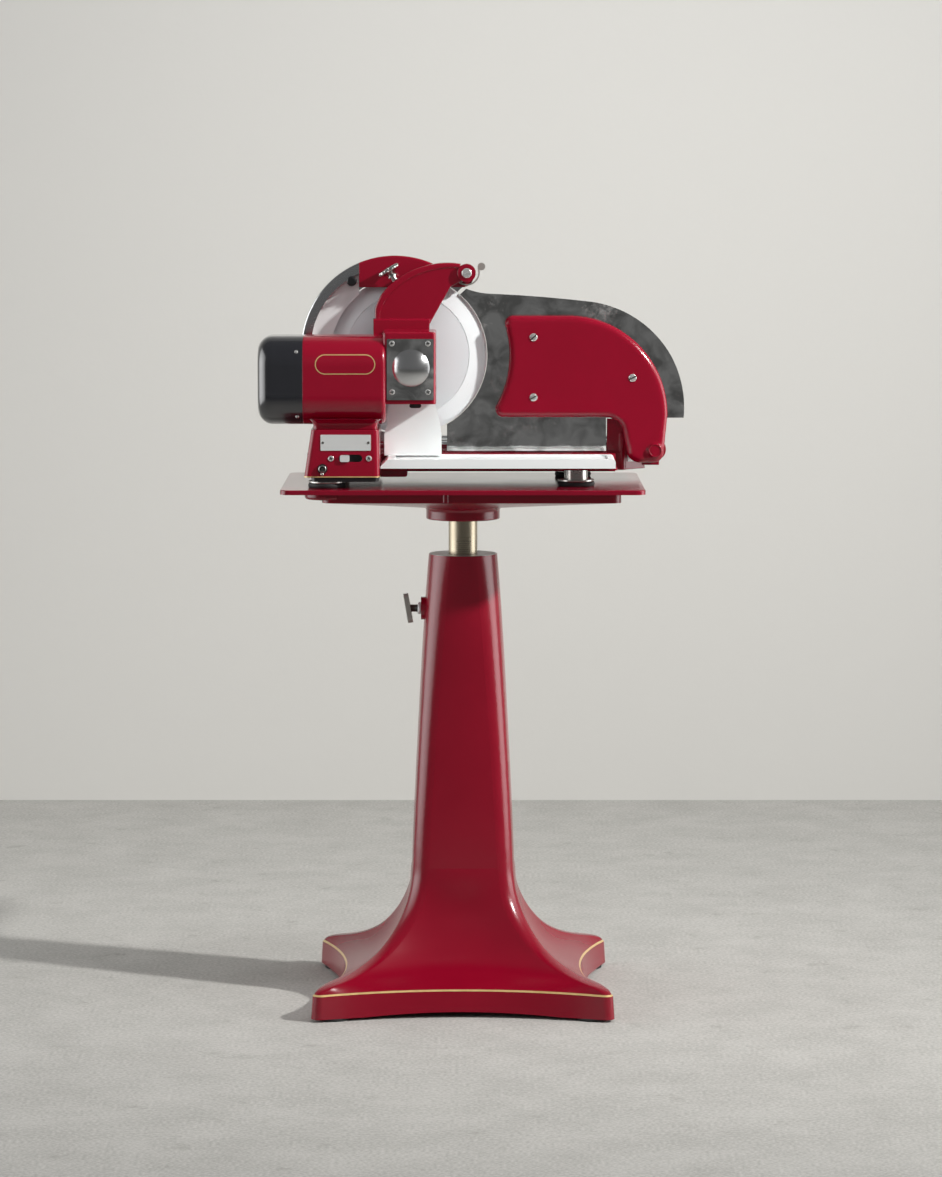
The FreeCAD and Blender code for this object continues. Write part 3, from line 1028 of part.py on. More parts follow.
def knife_cap():
    """Round plate that clamps the knife to its spindle from the product side."""
    back = KNIFE_FACE_Y + KNIFE_T
    cap = disc_y(KNIFE_X, KNIFE_Z, HUB_FLANGE_R - 4, back, back + 4)
    cap = cap.makeFillet(1.5, face_edges(cap, Y_AXIS, back + 4))
    plug = disc_y(KNIFE_X, KNIFE_Z, SHAFT_R, KNIFE_FACE_Y + 1, back)
    return one(cap.fuse(plug))


# ================================================================ guard
def guard_ring():
    """Ring around the free part of the knife edge."""
    inner = KNIFE_R + KNIFE_GAP
    outer = disc_y(GUARD_X, GUARD_Z, GUARD_R, GUARD_FRONT, GUARD_BACK)
    outer = outer.makeFillet(GUARD_EDGE_R, face_edges(outer, Y_AXIS, GUARD_FRONT))
    outer = outer.fuse(disc_y(KNIFE_X, KNIFE_Z, inner + GUARD_MIN_W, GUARD_FRONT, GUARD_BACK))
    body = outer.cut(disc_y(KNIFE_X, KNIFE_Z, inner, GUARD_FRONT - 1, GUARD_BACK + 1))
    recess = disc_y(LIP_X, LIP_Z, LIP_R, GUARD_FRONT - 1, GUARD_FRONT + GUARD_RECESS)
    body = body.cut(recess)
    body = body.common(sector_y(GUARD_X, GUARD_Z, GUARD_R * 1.5, GUARD_FROM, GUARD_TO,
                                GUARD_FRONT, GUARD_BACK))
    return one(body)


def guard_crescent():
    """Satin plate inside the ring that laps over the knife edge."""
    y0 = GUARD_FRONT + GUARD_RECESS - CRESCENT_T
    body = disc_y(LIP_X, LIP_Z, LIP_R, y0, y0 + CRESCENT_T)
    body = body.cut(disc_y(KNIFE_X, KNIFE_Z, KNIFE_R - CRESCENT_LIP, y0 - 1, y0 + CRESCENT_T + 1))
    body = body.common(sector_y(GUARD_X, GUARD_Z, GUARD_R * 1.5, 90.0, CRESCENT_TO,
                                y0, y0 + CRESCENT_T))
    # its upper end stops in line with the left end of the top cover
    body = body.cut(box(TOP_COVER_X0, GUARD_X + GUARD_R, y0 - 1, y0 + CRESCENT_T + 1, GUARD_Z,
                        GUARD_Z + GUARD_R))
    return max(body.Solids, key=lambda s: s.Volume)


def guard_top_cover():
    """Red cover over the top of the ring, between ring and arm, with an ear round the pin."""
    y0, y1 = GUARD_FRONT - TOP_COVER_T, GUARD_FRONT
    body = disc_y(GUARD_X, GUARD_Z, GUARD_R, y0, y1)
    body = body.makeFillet(TOP_COVER_EDGE_R, face_edges(body, Y_AXIS, y0))
    top = GUARD_Z + GUARD_R
    window = box(TOP_COVER_X0, PIN_X + EAR_R, y0, y1, top - TOP_COVER_H, top + 1)
    ear = disc_y(PIN_X + EAR_X, PIN_Z + EAR_Z, EAR_R, y1 - EAR_T, y1)
    lever_room = disc_y(PIN_X, PIN_Z, LEVER_R + 14, y0 - 1, y1 - EAR_T)
    body = body.common(window).cut(lever_room).fuse(ear)
    return one(body.cut(disc_y(PIN_X, PIN_Z, PIN_R, y0 - 1, y1 + 1)))


def guard_latch():
    """Round black knob that holds the guard."""
    y = GUARD_FRONT
    knob = disc_y(LATCH_X, LATCH_Z, LATCH_R, y - LATCH_H, y)
    return knob.makeFillet(3.5, face_edges(knob, Y_AXIS, y - LATCH_H))


def pivot_pin():
    """Pin through the boss at the end of the arm."""
    front = ARM_FRONT - PIN_BOSS_PROUD
    pin = disc_y(PIN_X, PIN_Z, PIN_R, front - PIN_HEAD_PROUD, GUARD_FRONT + 2)
    return pin.makeFillet(2.2, face_edges(pin, Y_AXIS, front - PIN_HEAD_PROUD))


def guard_lever():
    """Spring lever on the pin behind the arm, with a thumb tab."""
    y0, y1 = ARM_BACK + GAP, ARM_BACK + GAP + LEVER_T
    ring = disc_y(PIN_X, PIN_Z, PIN_R + 4, y0, y1)
    sweep = disc_y(PIN_X, PIN_Z, LEVER_R, y0, y1)
    sweep = sweep.cut(disc_y(PIN_X, PIN_Z, LEVER_R - LEVER_W, y0 - 1, y1 + 1))
    sweep = sweep.common(sector_y(PIN_X, PIN_Z, 2 * LEVER_R, LEVER_TAIL, LEVER_TURN, y0, y1))
    spoke = box(PIN_X - LEVER_R + 1, PIN_X - PIN_R - 1, y0, y1, PIN_Z - 1.5, PIN_Z + 1.5)
    spoke.rotate(V(PIN_X, 0, PIN_Z), Y_AXIS, -LEVER_SPOKE_TURN)
    tab_x, tab_z = polar(PIN_X, PIN_Z, LEVER_R + LEVER_TAB_R - 1.5, LEVER_TURN)
    tab = disc_y(tab_x, tab_z, LEVER_TAB_R, y0, y1)
    body = ring.fuse([sweep, spoke, tab])
    return one(body.cut(disc_y(PIN_X, PIN_Z, PIN_R + FIT, y0 - 1, y1 + 1)))


# ================================================================ receiving side
def tray_shape(x0, x1, y0, y1, z0, z1):
    """Tray block with a sloping left end and rounded plan corners."""
    s = TRAY_END_SLOPE
    face = Part.Face(Part.makePolygon([V(x0, y0, z0), V(x1, y0, z0), V(x1, y0, z1),
                                       V(x0 + s, y0, z1), V(x0, y0, z1 - s), V(x0, y0, z0)]))
    return face.extrude(V(0, y1 - y0, 0))


def receiving_tray():
    """Pressed tray: shallow dish on top, folded edges below."""
    z0 = SHELF_BOTTOM + SHELF_T + GAP
    z1 = z0 + TRAY_H
    outer = tray_shape(TRAY_X0, TRAY_X1, TRAY_FRONT, TRAY_BACK, z0, z1)
    corner = edges_along(outer, Y_AXIS, lambda p: p.x > TRAY_X1 - 1 and p.z > z1 - 1)
    outer = outer.makeFillet(5.0, corner)
    inner = box(TRAY_X0 + 4, TRAY_X1 - TRAY_T, TRAY_FRONT + TRAY_T, TRAY_BACK - TRAY_T, z0 - 1,
                z1 - TRAY_T - TRAY_DISH)
    inner = inner.cut(box(TRAY_X0, TRAY_X0 + TRAY_END_SLOPE + 2, TRAY_FRONT, TRAY_BACK,
                          z1 - TRAY_END_SLOPE - 1, z1))
    dish = rounded_box(TRAY_X0 + TRAY_END_SLOPE + TRAY_RIM, TRAY_X1 - TRAY_RIM, TRAY_FRONT + TRAY_RIM,
                       TRAY_BACK - TRAY_RIM, z1 - TRAY_DISH, z1 + 1, 12.0)
    return one(outer.cut([inner, dish]))


def slice_deflector():
    """Bright sheet under the gear case that sends slices into the tray."""
    z0 = SHELF_BOTTOM + SHELF_T + GAP + TRAY_H + GAP
    z1 = CASE_Z0
    y0, y1 = DEFLECTOR_Y, DEFLECTOR_Y + DEFLECTOR_T
    r = DEFLECTOR_R
    steps = [
        (DEFLECTOR_LOW_X0, z0),
        (DEFLECTOR_LOW_X0, z0 + DEFLECTOR_SIDE_H),
        (MOTOR_X1 + 5 * GAP, MOTOR_Z0 - 4),
        (DEFLECTOR_TOP_X0 - 3, z1 - r),
        ((DEFLECTOR_TOP_X0 + 1, z1 - r * 0.35), (DEFLECTOR_TOP_X0 + r * 0.8, z1)),
        (DEFLECTOR_TOP_X1, z1),
        ((DEFLECTOR_LOW_X1 - DEFLECTOR_WAIST_X, z0 + DEFLECTOR_WAIST_Z),
         (DEFLECTOR_LOW_X1 - 1, z0 + DEFLECTOR_SIDE_H_RIGHT)),
        (DEFLECTOR_LOW_X1, z0),
    ]
    sheet = prism_y(outline_xz(steps), y0, y1)
    flange = box(DEFLECTOR_TOP_X0 + r, DEFLECTOR_TOP_X1 - 2, y0, y0 + DEFLECTOR_FLANGE, z1 - DEFLECTOR_T, z1)
    sides = [box(x, x + DEFLECTOR_T, y0, y0 + DEFLECTOR_FLANGE, z0, z0 + DEFLECTOR_SIDE_H)
             for x in (DEFLECTOR_LOW_X0, DEFLECTOR_LOW_X1 - DEFLECTOR_T)]
    body = sheet.fuse([flange] + sides)
    hole_z, hole_r = z1 - DEFLECTOR_HOLE_DROP, DEFLECTOR_HOLE_R
    left, right = DEFLECTOR_HOLE_X - DEFLECTOR_HOLE_HALF, DEFLECTOR_HOLE_X + DEFLECTOR_HOLE_HALF
    hole = box(left, right, y0 - 1, y1 + 1, hole_z - hole_r, hole_z + hole_r)
    return one(body.cut([hole] + [disc_y(x, hole_z, hole_r, y0 - 1, y1 + 1) for x in (left, right)]))


# ================================================================ gauge
def gauge_plate():
    """Polished plate beside the knife that the product slides along."""
    r = KNIFE_R + PLATE_GAP
    low = math.asin((PLATE_LOW_X0 - KNIFE_X) / r)
    low_z = KNIFE_Z - r * math.cos(low)
    tip_x, tip_z = polar(KNIFE_X, KNIFE_Z, r, PLATE_TIP_TURN)
    crown = [(KNIFE_X + KNIFE_R + out, KNIFE_Z + KNIFE_R - drop) for out, drop in PLATE_CROWN]
    steps = [
        (PLATE_LOW_X0, PLATE_LOW_Z),
        (PLATE_LOW_X0, low_z),
        ((KNIFE_X + r, KNIFE_Z), (tip_x, tip_z)),
        (tip_x + 11, tip_z + 10),
        (crown[0], crown[1]),
        (crown[2], crown[3]),
        (crown[4], crown[5]),
        (crown[6], (PLATE_X1, PLATE_STEP_Z)),
        (PLATE_LOW_X1, PLATE_STEP_Z),
        (PLATE_LOW_X1, PLATE_LOW_Z),
    ]
    return prism_y(outline_xz(steps), PLATE_FRONT, PLATE_BACK)


def gauge_casting():
    """Red carrier of the gauge plate, hollow towards it, with a lobe down to the guide shaft."""
    y0, y1 = PLATE_FRONT - GAUGE_T, PLATE_FRONT
    low = PLATE_STEP_Z + GAUGE_FOOT_CLEAR
    left = GAUGE_LEFT_R
    x_low = KNIFE_X + math.sqrt(left ** 2 - (KNIFE_Z - low) ** 2)
    x_top = KNIFE_X + math.sqrt(left ** 2 - (GAUGE_TOP - KNIFE_Z) ** 2)
    r, diagonal = GAUGE_SHOULDER_R, math.sqrt(0.5)
    centre = (GAUGE_RIGHT - r, GAUGE_TOP - r)
    toe = (LOBE_X + LOBE_TOE[0], LOBE_Z + LOBE_TOE[1])
    heel = (LOBE_X + LOBE_HEEL[0], LOBE_Z + LOBE_HEEL[1])
    crook = (LOBE_X + LOBE_CROOK, low)
    steps = [
        ((KNIFE_X + left, KNIFE_Z), (x_top, GAUGE_TOP)),
        (centre[0], GAUGE_TOP),
        ((centre[0] + r * diagonal, centre[1] + r * diagonal), (GAUGE_RIGHT, centre[1])),
        toe, heel, crook, (x_low, low),
    ]
    body = prism_y(outline_xz(steps), y0, y1)
    body = soften(body, Y_AXIS, [(*toe, LOBE_TOE_R), (*heel, LOBE_HEEL_R), (*crook, LOBE_CROOK_R),
                                 (x_low, low, GAUGE_CORNER_R), (x_top, GAUGE_TOP, GAUGE_CORNER_R)])
    back = min(body.Faces, key=lambda f: abs(f.CenterOfMass.y - y1)).OuterWire
    pocket = Part.Face(back.makeOffset2D(-GAUGE_WALL)).extrude(V(0, y0 + GAUGE_FLOOR - y1, 0))
    body = body.makeFillet(GAUGE_EDGE_R, face_edges(body, Y_AXIS, y0))
    seats = [disc_y(x, z, GAUGE_BOSS_R, y0 + GAUGE_FLOOR - 1, y1) for x, z in GAUGE_SCREWS]
    boss = disc_y(LOBE_X, LOBE_Z, LOBE_R, y0 - LOBE_PROUD, y1)
    boss = boss.makeFillet(2.0, face_edges(boss, Y_AXIS, y0 - LOBE_PROUD))
    body = body.cut(pocket).fuse(seats + [boss])
    body = body.cut(disc_y(LOBE_X, LOBE_Z, GAUGE_SHAFT_R, y0 + GAUGE_SHAFT_SEAT, y1 + 1))
    return one(body)


def gauge_shaft():
    """Guide shaft of the gauge, pressed into the lobe, bored at its end for the index screw."""
    y0 = PLATE_FRONT - GAUGE_T + GAUGE_SHAFT_SEAT
    shaft = disc_y(LOBE_X, LOBE_Z, GAUGE_SHAFT_R, y0, GAUGE_SHAFT_END)
    shaft = shaft.makeChamfer(1.0, face_edges(shaft, Y_AXIS, GAUGE_SHAFT_END))
    depth = INDEX_OVERLAP + 2
    return shaft.cut(disc_y(LOBE_X, LOBE_Z, INDEX_SHAFT_R + FIT, GAUGE_SHAFT_END - depth,
                            GAUGE_SHAFT_END + 1))


def index_knob():
    """Knob behind the base whose screw moves the gauge and sets the slice thickness."""
    y = BASE_BACK + GAP
    head = disc_y(LOBE_X, LOBE_Z, INDEX_R, y, y + INDEX_H)
    head = head.makeFillet(3.0, face_edges(head, Y_AXIS, y + INDEX_H))
    grooves = []
    for i in range(INDEX_GROOVES):
        a = 2 * math.pi * i / INDEX_GROOVES
        grooves.append(disc_y(LOBE_X + (INDEX_R + 0.8) * math.cos(a), LOBE_Z + (INDEX_R + 0.8) * math.sin(a),
                              INDEX_GROOVE_R, y + 5, y + INDEX_H + 1))
    screw = disc_y(LOBE_X, LOBE_Z, INDEX_SHAFT_R, GAUGE_SHAFT_END - INDEX_OVERLAP, y + 1)
    return one(head.cut(grooves).fuse(screw))


# ================================================================ carriage
def carriage_rods():
    """Main rod and guide rail of the carriage."""
    length = ROD_X1 - ROD_X0
    return {
        "carriage_rod": cyl(ROD_R, V(ROD_X0, ROD_Y, ROD_Z), X_AXIS, length),
        "carriage_rail": cyl(RAIL_R, V(ROD_X0, RAIL_Y, ROD_Z), X_AXIS, length),
    }


def carriage_block():
    """Casting that runs on the rods and carries the bed."""
    top, wall = BED_Z, BLOCK_WALL
    rear = box(BLOCK_X0, BLOCK_X1, ROD_Y - ROD_R - wall, ROD_Y + ROD_R + wall, BASE_TOP + 1, top)
    front = box(BLOCK_X0 + BLOCK_FRONT_IN, BLOCK_X1 - BLOCK_FRONT_IN, RAIL_Y - RAIL_R - wall,
                RAIL_Y + RAIL_R + wall, BASE_TOP + 2, top)
    bridge = box(BLOCK_X0 + BRIDGE_IN, BLOCK_X1 - BRIDGE_IN, RAIL_Y, ROD_Y, top - BRIDGE_T, top)
    body = rear.fuse([front, bridge])
    body = body.cut([cyl(ROD_R + FIT, V(ROD_X0, ROD_Y, ROD_Z), X_AXIS, ROD_X1 - ROD_X0),
                     cyl(RAIL_R + FIT, V(ROD_X0, RAIL_Y, ROD_Z), X_AXIS, ROD_X1 - ROD_X0)])
    return one(body)


def carriage_bed():
    """Bed that the product lies on, grooved across its top."""
    top = BED_Z + BED_T
    bed = rounded_box(BED_X0, BED_X1, BED_Y0, BED_Y1, BED_Z, top, BED_R)
    grooves = []
    count = int((BED_X1 - BED_X0) / BED_GROOVE_PITCH) - 1
    for i in range(1, count + 1):
        x = BED_X0 + i * BED_GROOVE_PITCH
        grooves.append(box(x, x + BED_GROOVE_W, BED_Y0 - 1, BED_Y1 + 1, top - BED_GROOVE_DEPTH, top + 1))
    return one(bed.cut(grooves))


def carriage_fence():
    """Upright fence that pushes the product across the knife, with lugs for the push rod."""
    z0 = BED_Z + BED_T
    x0, x1 = BED_X1 - FENCE_T, BED_X1
    fence = box(x0, x1, BED_Y0 + FENCE_FRONT_IN, BED_Y1 - FENCE_BACK_IN, z0, FENCE_TOP)
    top = edges_along(fence, X_AXIS, lambda p: p.z > FENCE_TOP - 0.1)
    fence = fence.makeFillet(FENCE_R, top)
    cx = (x0 + x1) / 2
    lugs = []
    for y in (BED_Y0 + PUSH_LUG_FRONT_IN, BED_Y1 - PUSH_LUG_BACK_IN):
        lugs.append(box(x0, x1, y, y + PUSH_LUG_T, FENCE_TOP - PUSH_LUG_DROP, PUSH_ROD_Z))
        lugs.append(disc_y(cx, PUSH_ROD_Z, PUSH_ROD_R + PUSH_LUG_WALL, y, y + PUSH_LUG_T))
    body = fence.fuse(lugs)
    body = body.cut(disc_y(cx, PUSH_ROD_Z, PUSH_ROD_R, BED_Y0, BED_Y1))
    return one(body)


def carriage_handle():
    """Grip on the outside of the fence."""
    z = BED_Z + HANDLE_UP
    y = (BED_Y0 + BED_Y1) / 2
    stem = cyl(HANDLE_STEM_R, V(BED_X1, y, z), X_AXIS, HANDLE_STEM)
    grip = cyl(HANDLE_R, V(BED_X1 + HANDLE_STEM, y, z), X_AXIS, HANDLE_LEN - HANDLE_STEM)
    grip = grip.makeFillet(5.0, face_edges(grip, X_AXIS, BED_X1 + HANDLE_LEN))
    return one(stem.fuse(grip))


def push_rod():
    """Rod on the fence that the product pusher slides along."""
    cx = BED_X1 - FENCE_T / 2
    return disc_y(cx, PUSH_ROD_Z, PUSH_ROD_R, BED_Y0 + PUSH_ROD_FRONT_IN, BED_Y1 - PUSH_ROD_BACK_IN)


def pusher():
    """Sleeve, arm and spiked plate that press the product towards the gauge plate."""
    cx = BED_X1 - FENCE_T / 2
    y = BED_Y1 - PUSHER_BACK_IN
    sleeve = disc_y(cx, PUSH_ROD_Z, PUSH_ROD_R + PUSHER_WALL, y, y + PUSHER_LEN)
    left = cx - PUSHER_REACH
    arm_y0 = y + (PUSHER_LEN - PUSHER_ARM_W) / 2
    arm_y1 = arm_y0 + PUSHER_ARM_W
    top = PUSH_ROD_Z + PUSHER_ARM_H / 2 + 1
    beam = box(left, cx - PUSHER_WALL, arm_y0, arm_y1, top - PUSHER_ARM_H, top)
    plate_z0 = BED_Z + BED_T + PUSH_PLATE_OVER
    drop = box(left, left + PUSHER_DROP_W, arm_y0, arm_y1, plate_z0 + PUSH_PLATE_H * 0.55, top)
    carrier = sleeve.fuse([beam, drop])
    carrier = carrier.cut(disc_y(cx, PUSH_ROD_Z, PUSH_ROD_R + FIT, y - 1, y + PUSHER_LEN + 1))
    face_y = arm_y0 - PUSH_PLATE_T
    x0 = left + (PUSHER_DROP_W - PUSH_PLATE_W) / 2
    plate = rounded_box(x0, x0 + PUSH_PLATE_W, face_y, arm_y0, plate_z0, plate_z0 + PUSH_PLATE_H,
                        PUSH_PLATE_R, Y_AXIS)
    across = (PUSH_PLATE_W - 2 * SPIKE_SIDE_IN) / (SPIKE_COLUMNS - 1)
    up = (PUSH_PLATE_H - 2 * SPIKE_END_IN) / (SPIKE_ROWS - 1)
    spikes = []
    for row in range(SPIKE_ROWS):
        for column in range(SPIKE_COLUMNS):
            at = V(x0 + SPIKE_SIDE_IN + column * across, face_y, plate_z0 + SPIKE_END_IN + row * up)
            spikes.append(Part.makeCone(SPIKE_R, SPIKE_TIP_R, SPIKE_LEN, at, -Y_AXIS))
    return {"pusher_arm": one(carrier), "pusher_plate": one(plate.fuse(spikes))}


# ================================================================ build
def build():
    """All nodes by name."""
    nodes = {}
    nodes.update(floor_pads())
    nodes["pedestal_column"] = pedestal_column()
    nodes["lock_screw"] = lock_screw()
    nodes["lift_post"] = lift_post()
    nodes["table_cradle"] = table_cradle()
    nodes["stand_table"] = stand_table()
    nodes.update(hub_set_screws())
    nodes.update(slicer_feet())
    nodes["machine_base"] = machine_base()
    for make in (base_bottom_cover, rating_plate, switch_body, switch_slider, toggle_bezel,
                 toggle_lever, cable_gland, corner_plate):
        nodes[make.__name__] = make()
    nodes["head_casting"] = head_casting()
    nodes["motor_end_cap"] = motor_end_cap()
    nodes["motor_stator"] = motor_stator()
    nodes["worm_shaft"] = worm_shaft()
    nodes["worm_wheel"] = worm_wheel()
    nodes["gear_cover"] = gear_cover()
    nodes["sight_dome"] = sight_dome()
    nodes["clamp_knob"] = clamp_knob()
    nodes["knife_shaft"] = knife_shaft()
    nodes["knife"] = knife()
    nodes["knife_cap"] = knife_cap()
    nodes["guard_ring"] = guard_ring()
    nodes["guard_crescent"] = guard_crescent()
    nodes["guard_top_cover"] = guard_top_cover()
    nodes["guard_latch"] = guard_latch()
    nodes["pivot_pin"] = pivot_pin()
    nodes["guard_lever"] = guard_lever()
    nodes["receiving_tray"] = receiving_tray()
    nodes["slice_deflector"] = slice_deflector()
    nodes["gauge_plate"] = gauge_plate()
    nodes["gauge_casting"] = gauge_casting()
    nodes["gauge_shaft"] = gauge_shaft()
    nodes["index_knob"] = index_knob()
    nodes.update(carriage_rods())
    nodes["carriage_block"] = carriage_block()
    nodes["carriage_bed"] = carriage_bed()
    nodes["carriage_fence"] = carriage_fence()
    nodes["carriage_handle"] = carriage_handle()
    nodes["push_rod"] = push_rod()
    nodes.update(pusher())
    return nodes


def main():
    """Write one STEP file per node."""
    os.makedirs("parts", exist_ok=True)
    for name, shape in build().items():
        assert shape.isValid(), name
        shape.exportStep(f"parts/{name}.step")
        print(f"{name}: {len(shape.Solids)} solid, {shape.Volume / 1000:.1f} cm3")


if __name__ == "__main__":
    main()
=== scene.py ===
"""Looks of an electric slicer on its pedestal: finishes, small fittings, studio and camera.

Sizes in the classes are millimetres in the part's own frame: +X right, +Y away from the side
where the slices come out, +Z up from the floor. Meshes are drawn in millimetres and scaled
once, in add_piece. The studio alone is in metres.
"""
import logging
import math
from dataclasses import dataclass, replace
from enum import Enum
from typing import Callable, Sequence

import bmesh
import bpy
from mathutils import Matrix, Vector
from mathutils.bvhtree import BVHTree


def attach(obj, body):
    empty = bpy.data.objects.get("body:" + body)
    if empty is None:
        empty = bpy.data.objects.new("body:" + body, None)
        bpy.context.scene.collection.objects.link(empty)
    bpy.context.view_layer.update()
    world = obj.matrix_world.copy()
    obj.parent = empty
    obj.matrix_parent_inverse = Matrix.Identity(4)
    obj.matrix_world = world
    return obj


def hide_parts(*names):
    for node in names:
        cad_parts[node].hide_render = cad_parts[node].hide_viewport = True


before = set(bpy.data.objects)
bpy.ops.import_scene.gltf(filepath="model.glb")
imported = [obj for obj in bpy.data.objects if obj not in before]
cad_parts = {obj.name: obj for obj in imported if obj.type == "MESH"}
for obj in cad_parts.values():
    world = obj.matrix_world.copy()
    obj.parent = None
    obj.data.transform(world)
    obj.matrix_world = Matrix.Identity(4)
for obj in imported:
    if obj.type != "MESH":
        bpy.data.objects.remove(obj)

LOG = logging.getLogger("slicer")
MM = 0.001
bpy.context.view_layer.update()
X_AXIS, Y_AXIS, Z_AXIS = Vector((1, 0, 0)), Vector((0, 1, 0)), Vector((0, 0, 1))
FRONT = -Y_AXIS
OUTSIDE = 400.0
Pair = tuple[float, float]
Triple = tuple[float, float, float]


# ================================================================ colour and nodes
def linear(hex_colour: str) -> tuple[float, float, float, float]:
    """Turns an sRGB hex colour into linear RGBA.

    Args:
        hex_colour: Six hex digits, such as "8E0B22".

    Returns:
        Linear red, green, blue and an alpha of 1.
    """
    channels = []
    for i in (0, 2, 4):
        c = int(hex_colour[i:i + 2], 16) / 255
        channels.append(c / 12.92 if c <= 0.04045 else ((c + 0.055) / 1.055) ** 2.4)
    return (channels[0], channels[1], channels[2], 1.0)


def add_node(tree: bpy.types.NodeTree, kind: str, settings: dict | None = None,
             links: dict | None = None) -> bpy.types.Node:
    """Adds one node with its settings and links.

    Args:
        tree: Node tree that gets the node.
        kind: Blender's class name of the node.
        settings: Values by attribute name, or by input name or number.
        links: Output sockets by the input name or number that they feed.

    Returns:
        The new node.
    """
    node = tree.nodes.new(kind)
    for key, value in (settings or {}).items():
        if isinstance(key, str) and hasattr(node, key):
            setattr(node, key, value)
        else:
            node.inputs[key].default_value = value
    for key, source in (links or {}).items():
        tree.links.new(source, node.inputs[key])
    return node


@dataclass(frozen=True)
class Recipe:
    """One material in the making: its nodes, its Principled shader and coordinates in metres."""

    tree: bpy.types.NodeTree
    shader: bpy.types.Node
    coords: bpy.types.NodeSocket

    def fix(self, values: dict[str, float]) -> None:
        """Sets inputs of the shader by name."""
        for name, value in values.items():
            self.shader.inputs[name].default_value = value

    def feed(self, name: str, source: bpy.types.NodeSocket) -> None:
        """Links a socket to an input of the shader."""
        self.tree.links.new(source, self.shader.inputs[name])

    def mottle(self, patch_mm: float, colours: tuple[str, str], gloss: Pair) -> None:
        """Lets colour and roughness drift in soft patches.

        Args:
            patch_mm: Size of a patch.
            colours: Hex colours at the two ends of the drift.
            gloss: Roughness at the two ends of the drift.
        """
        noise = add_node(self.tree, "ShaderNodeTexNoise",
                         {"Scale": 1 / (patch_mm * MM), "Detail": 4.0, "Roughness": 0.6},
                         {"Vector": self.coords})
        tint = add_node(self.tree, "ShaderNodeMix",
                        {"data_type": "RGBA", 6: linear(colours[0]), 7: linear(colours[1])},
                        {0: noise.outputs["Fac"]})
        self.feed("Base Color", tint.outputs[2])
        rough = add_node(self.tree, "ShaderNodeMapRange",
                         {"From Min": 0.3, "From Max": 0.7, "To Min": gloss[0],
                          "To Max": gloss[1]}, {"Value": noise.outputs["Fac"]})
        self.feed("Roughness", rough.outputs["Result"])

    def ripple(self, wave_mm: float, depth_mm: float, detail: float = 2.0,
               under: bpy.types.NodeSocket | None = None) -> None:
        """Gives the surface a fine uneven relief.

        Args:
            wave_mm: Distance between its hills.
            depth_mm: Height of its hills.
            detail: How much finer relief rides on the hills.
            under: Normal that the relief lies on, where it isn't the surface's own.
        """
        noise = add_node(self.tree, "ShaderNodeTexNoise",
                         {"Scale": 1 / (wave_mm * MM), "Detail": detail},
                         {"Vector": self.coords})
        bump = add_node(self.tree, "ShaderNodeBump",
                        {"Strength": 1.0, "Distance": depth_mm * MM},
                        {"Height": noise.outputs["Fac"]} | ({"Normal": under} if under else {}))
        self.feed("Normal", bump.outputs["Normal"])

    def score(self, lines: bpy.types.NodeSocket, depth_mm: float, shine: bpy.types.NodeSocket,
              span: Pair, gloss: Pair, under: bpy.types.NodeSocket | None = None) -> None:
        """Cuts fine lines into a metal and lets its gloss follow them.

        Args:
            lines: Height of the lines, from 0 to 1.
            depth_mm: Depth of the lines.
            shine: Value that the gloss follows.
            span: That value at the two ends of the gloss.
            gloss: Roughness at the two ends.
            under: Normal that the lines lie on, where it isn't the surface's own.
        """
        rough = add_node(self.tree, "ShaderNodeMapRange",
                         {"From Min": span[0], "From Max": span[1], "To Min": gloss[0],
                          "To Max": gloss[1]}, {"Value": shine})
        self.feed("Roughness", rough.outputs["Result"])
        bump = add_node(self.tree, "ShaderNodeBump",
                        {"Strength": 1.0, "Distance": depth_mm * MM},
                        {"Height": lines} | ({"Normal": under} if under else {}))
        self.feed("Normal", bump.outputs["Normal"])


# ================================================================ finishes
class Axis(Enum):
    """Axis that a grain runs along or a turned mark goes round."""

    X = 0
    Y = 1
    Z = 2


@dataclass(frozen=True)
class Finish:
    """A surface finish: its name, colour and gloss."""

    name: str
    colour: str
    roughness: float

    def material(self) -> bpy.types.Material:
        """Makes the material of this finish, or finds it once it is made.

        Returns:
            The material.
        """
        made = bpy.data.materials.get(self.name)
        if made:
            return made
        made = bpy.data.materials.new(self.name)
        made.use_nodes = True
        tree = made.node_tree
        tree.nodes.clear()
        shader = add_node(tree, "ShaderNodeBsdfPrincipled",
                          {"Base Color": linear(self.colour), "Roughness": self.roughness})
        recipe = Recipe(tree, shader, add_node(tree, "ShaderNodeTexCoord").outputs["Object"])
        self.work(recipe)
        add_node(tree, "ShaderNodeOutputMaterial", links={"Surface": self.result(recipe)})
        return made

    def gloss(self, less: float, more: float) -> Pair:
        """Returns the roughness at the two ends of its drift."""
        return self.roughness - less, self.roughness + more

    def work(self, recipe: Recipe) -> None:
        """Adds what this finish has beyond a colour and a roughness.

        Args:
            recipe: The material in the making.
        """

    def result(self, recipe: Recipe) -> bpy.types.NodeSocket:
        """Returns the socket that goes to the material's output."""
        return recipe.shader.outputs["BSDF"]


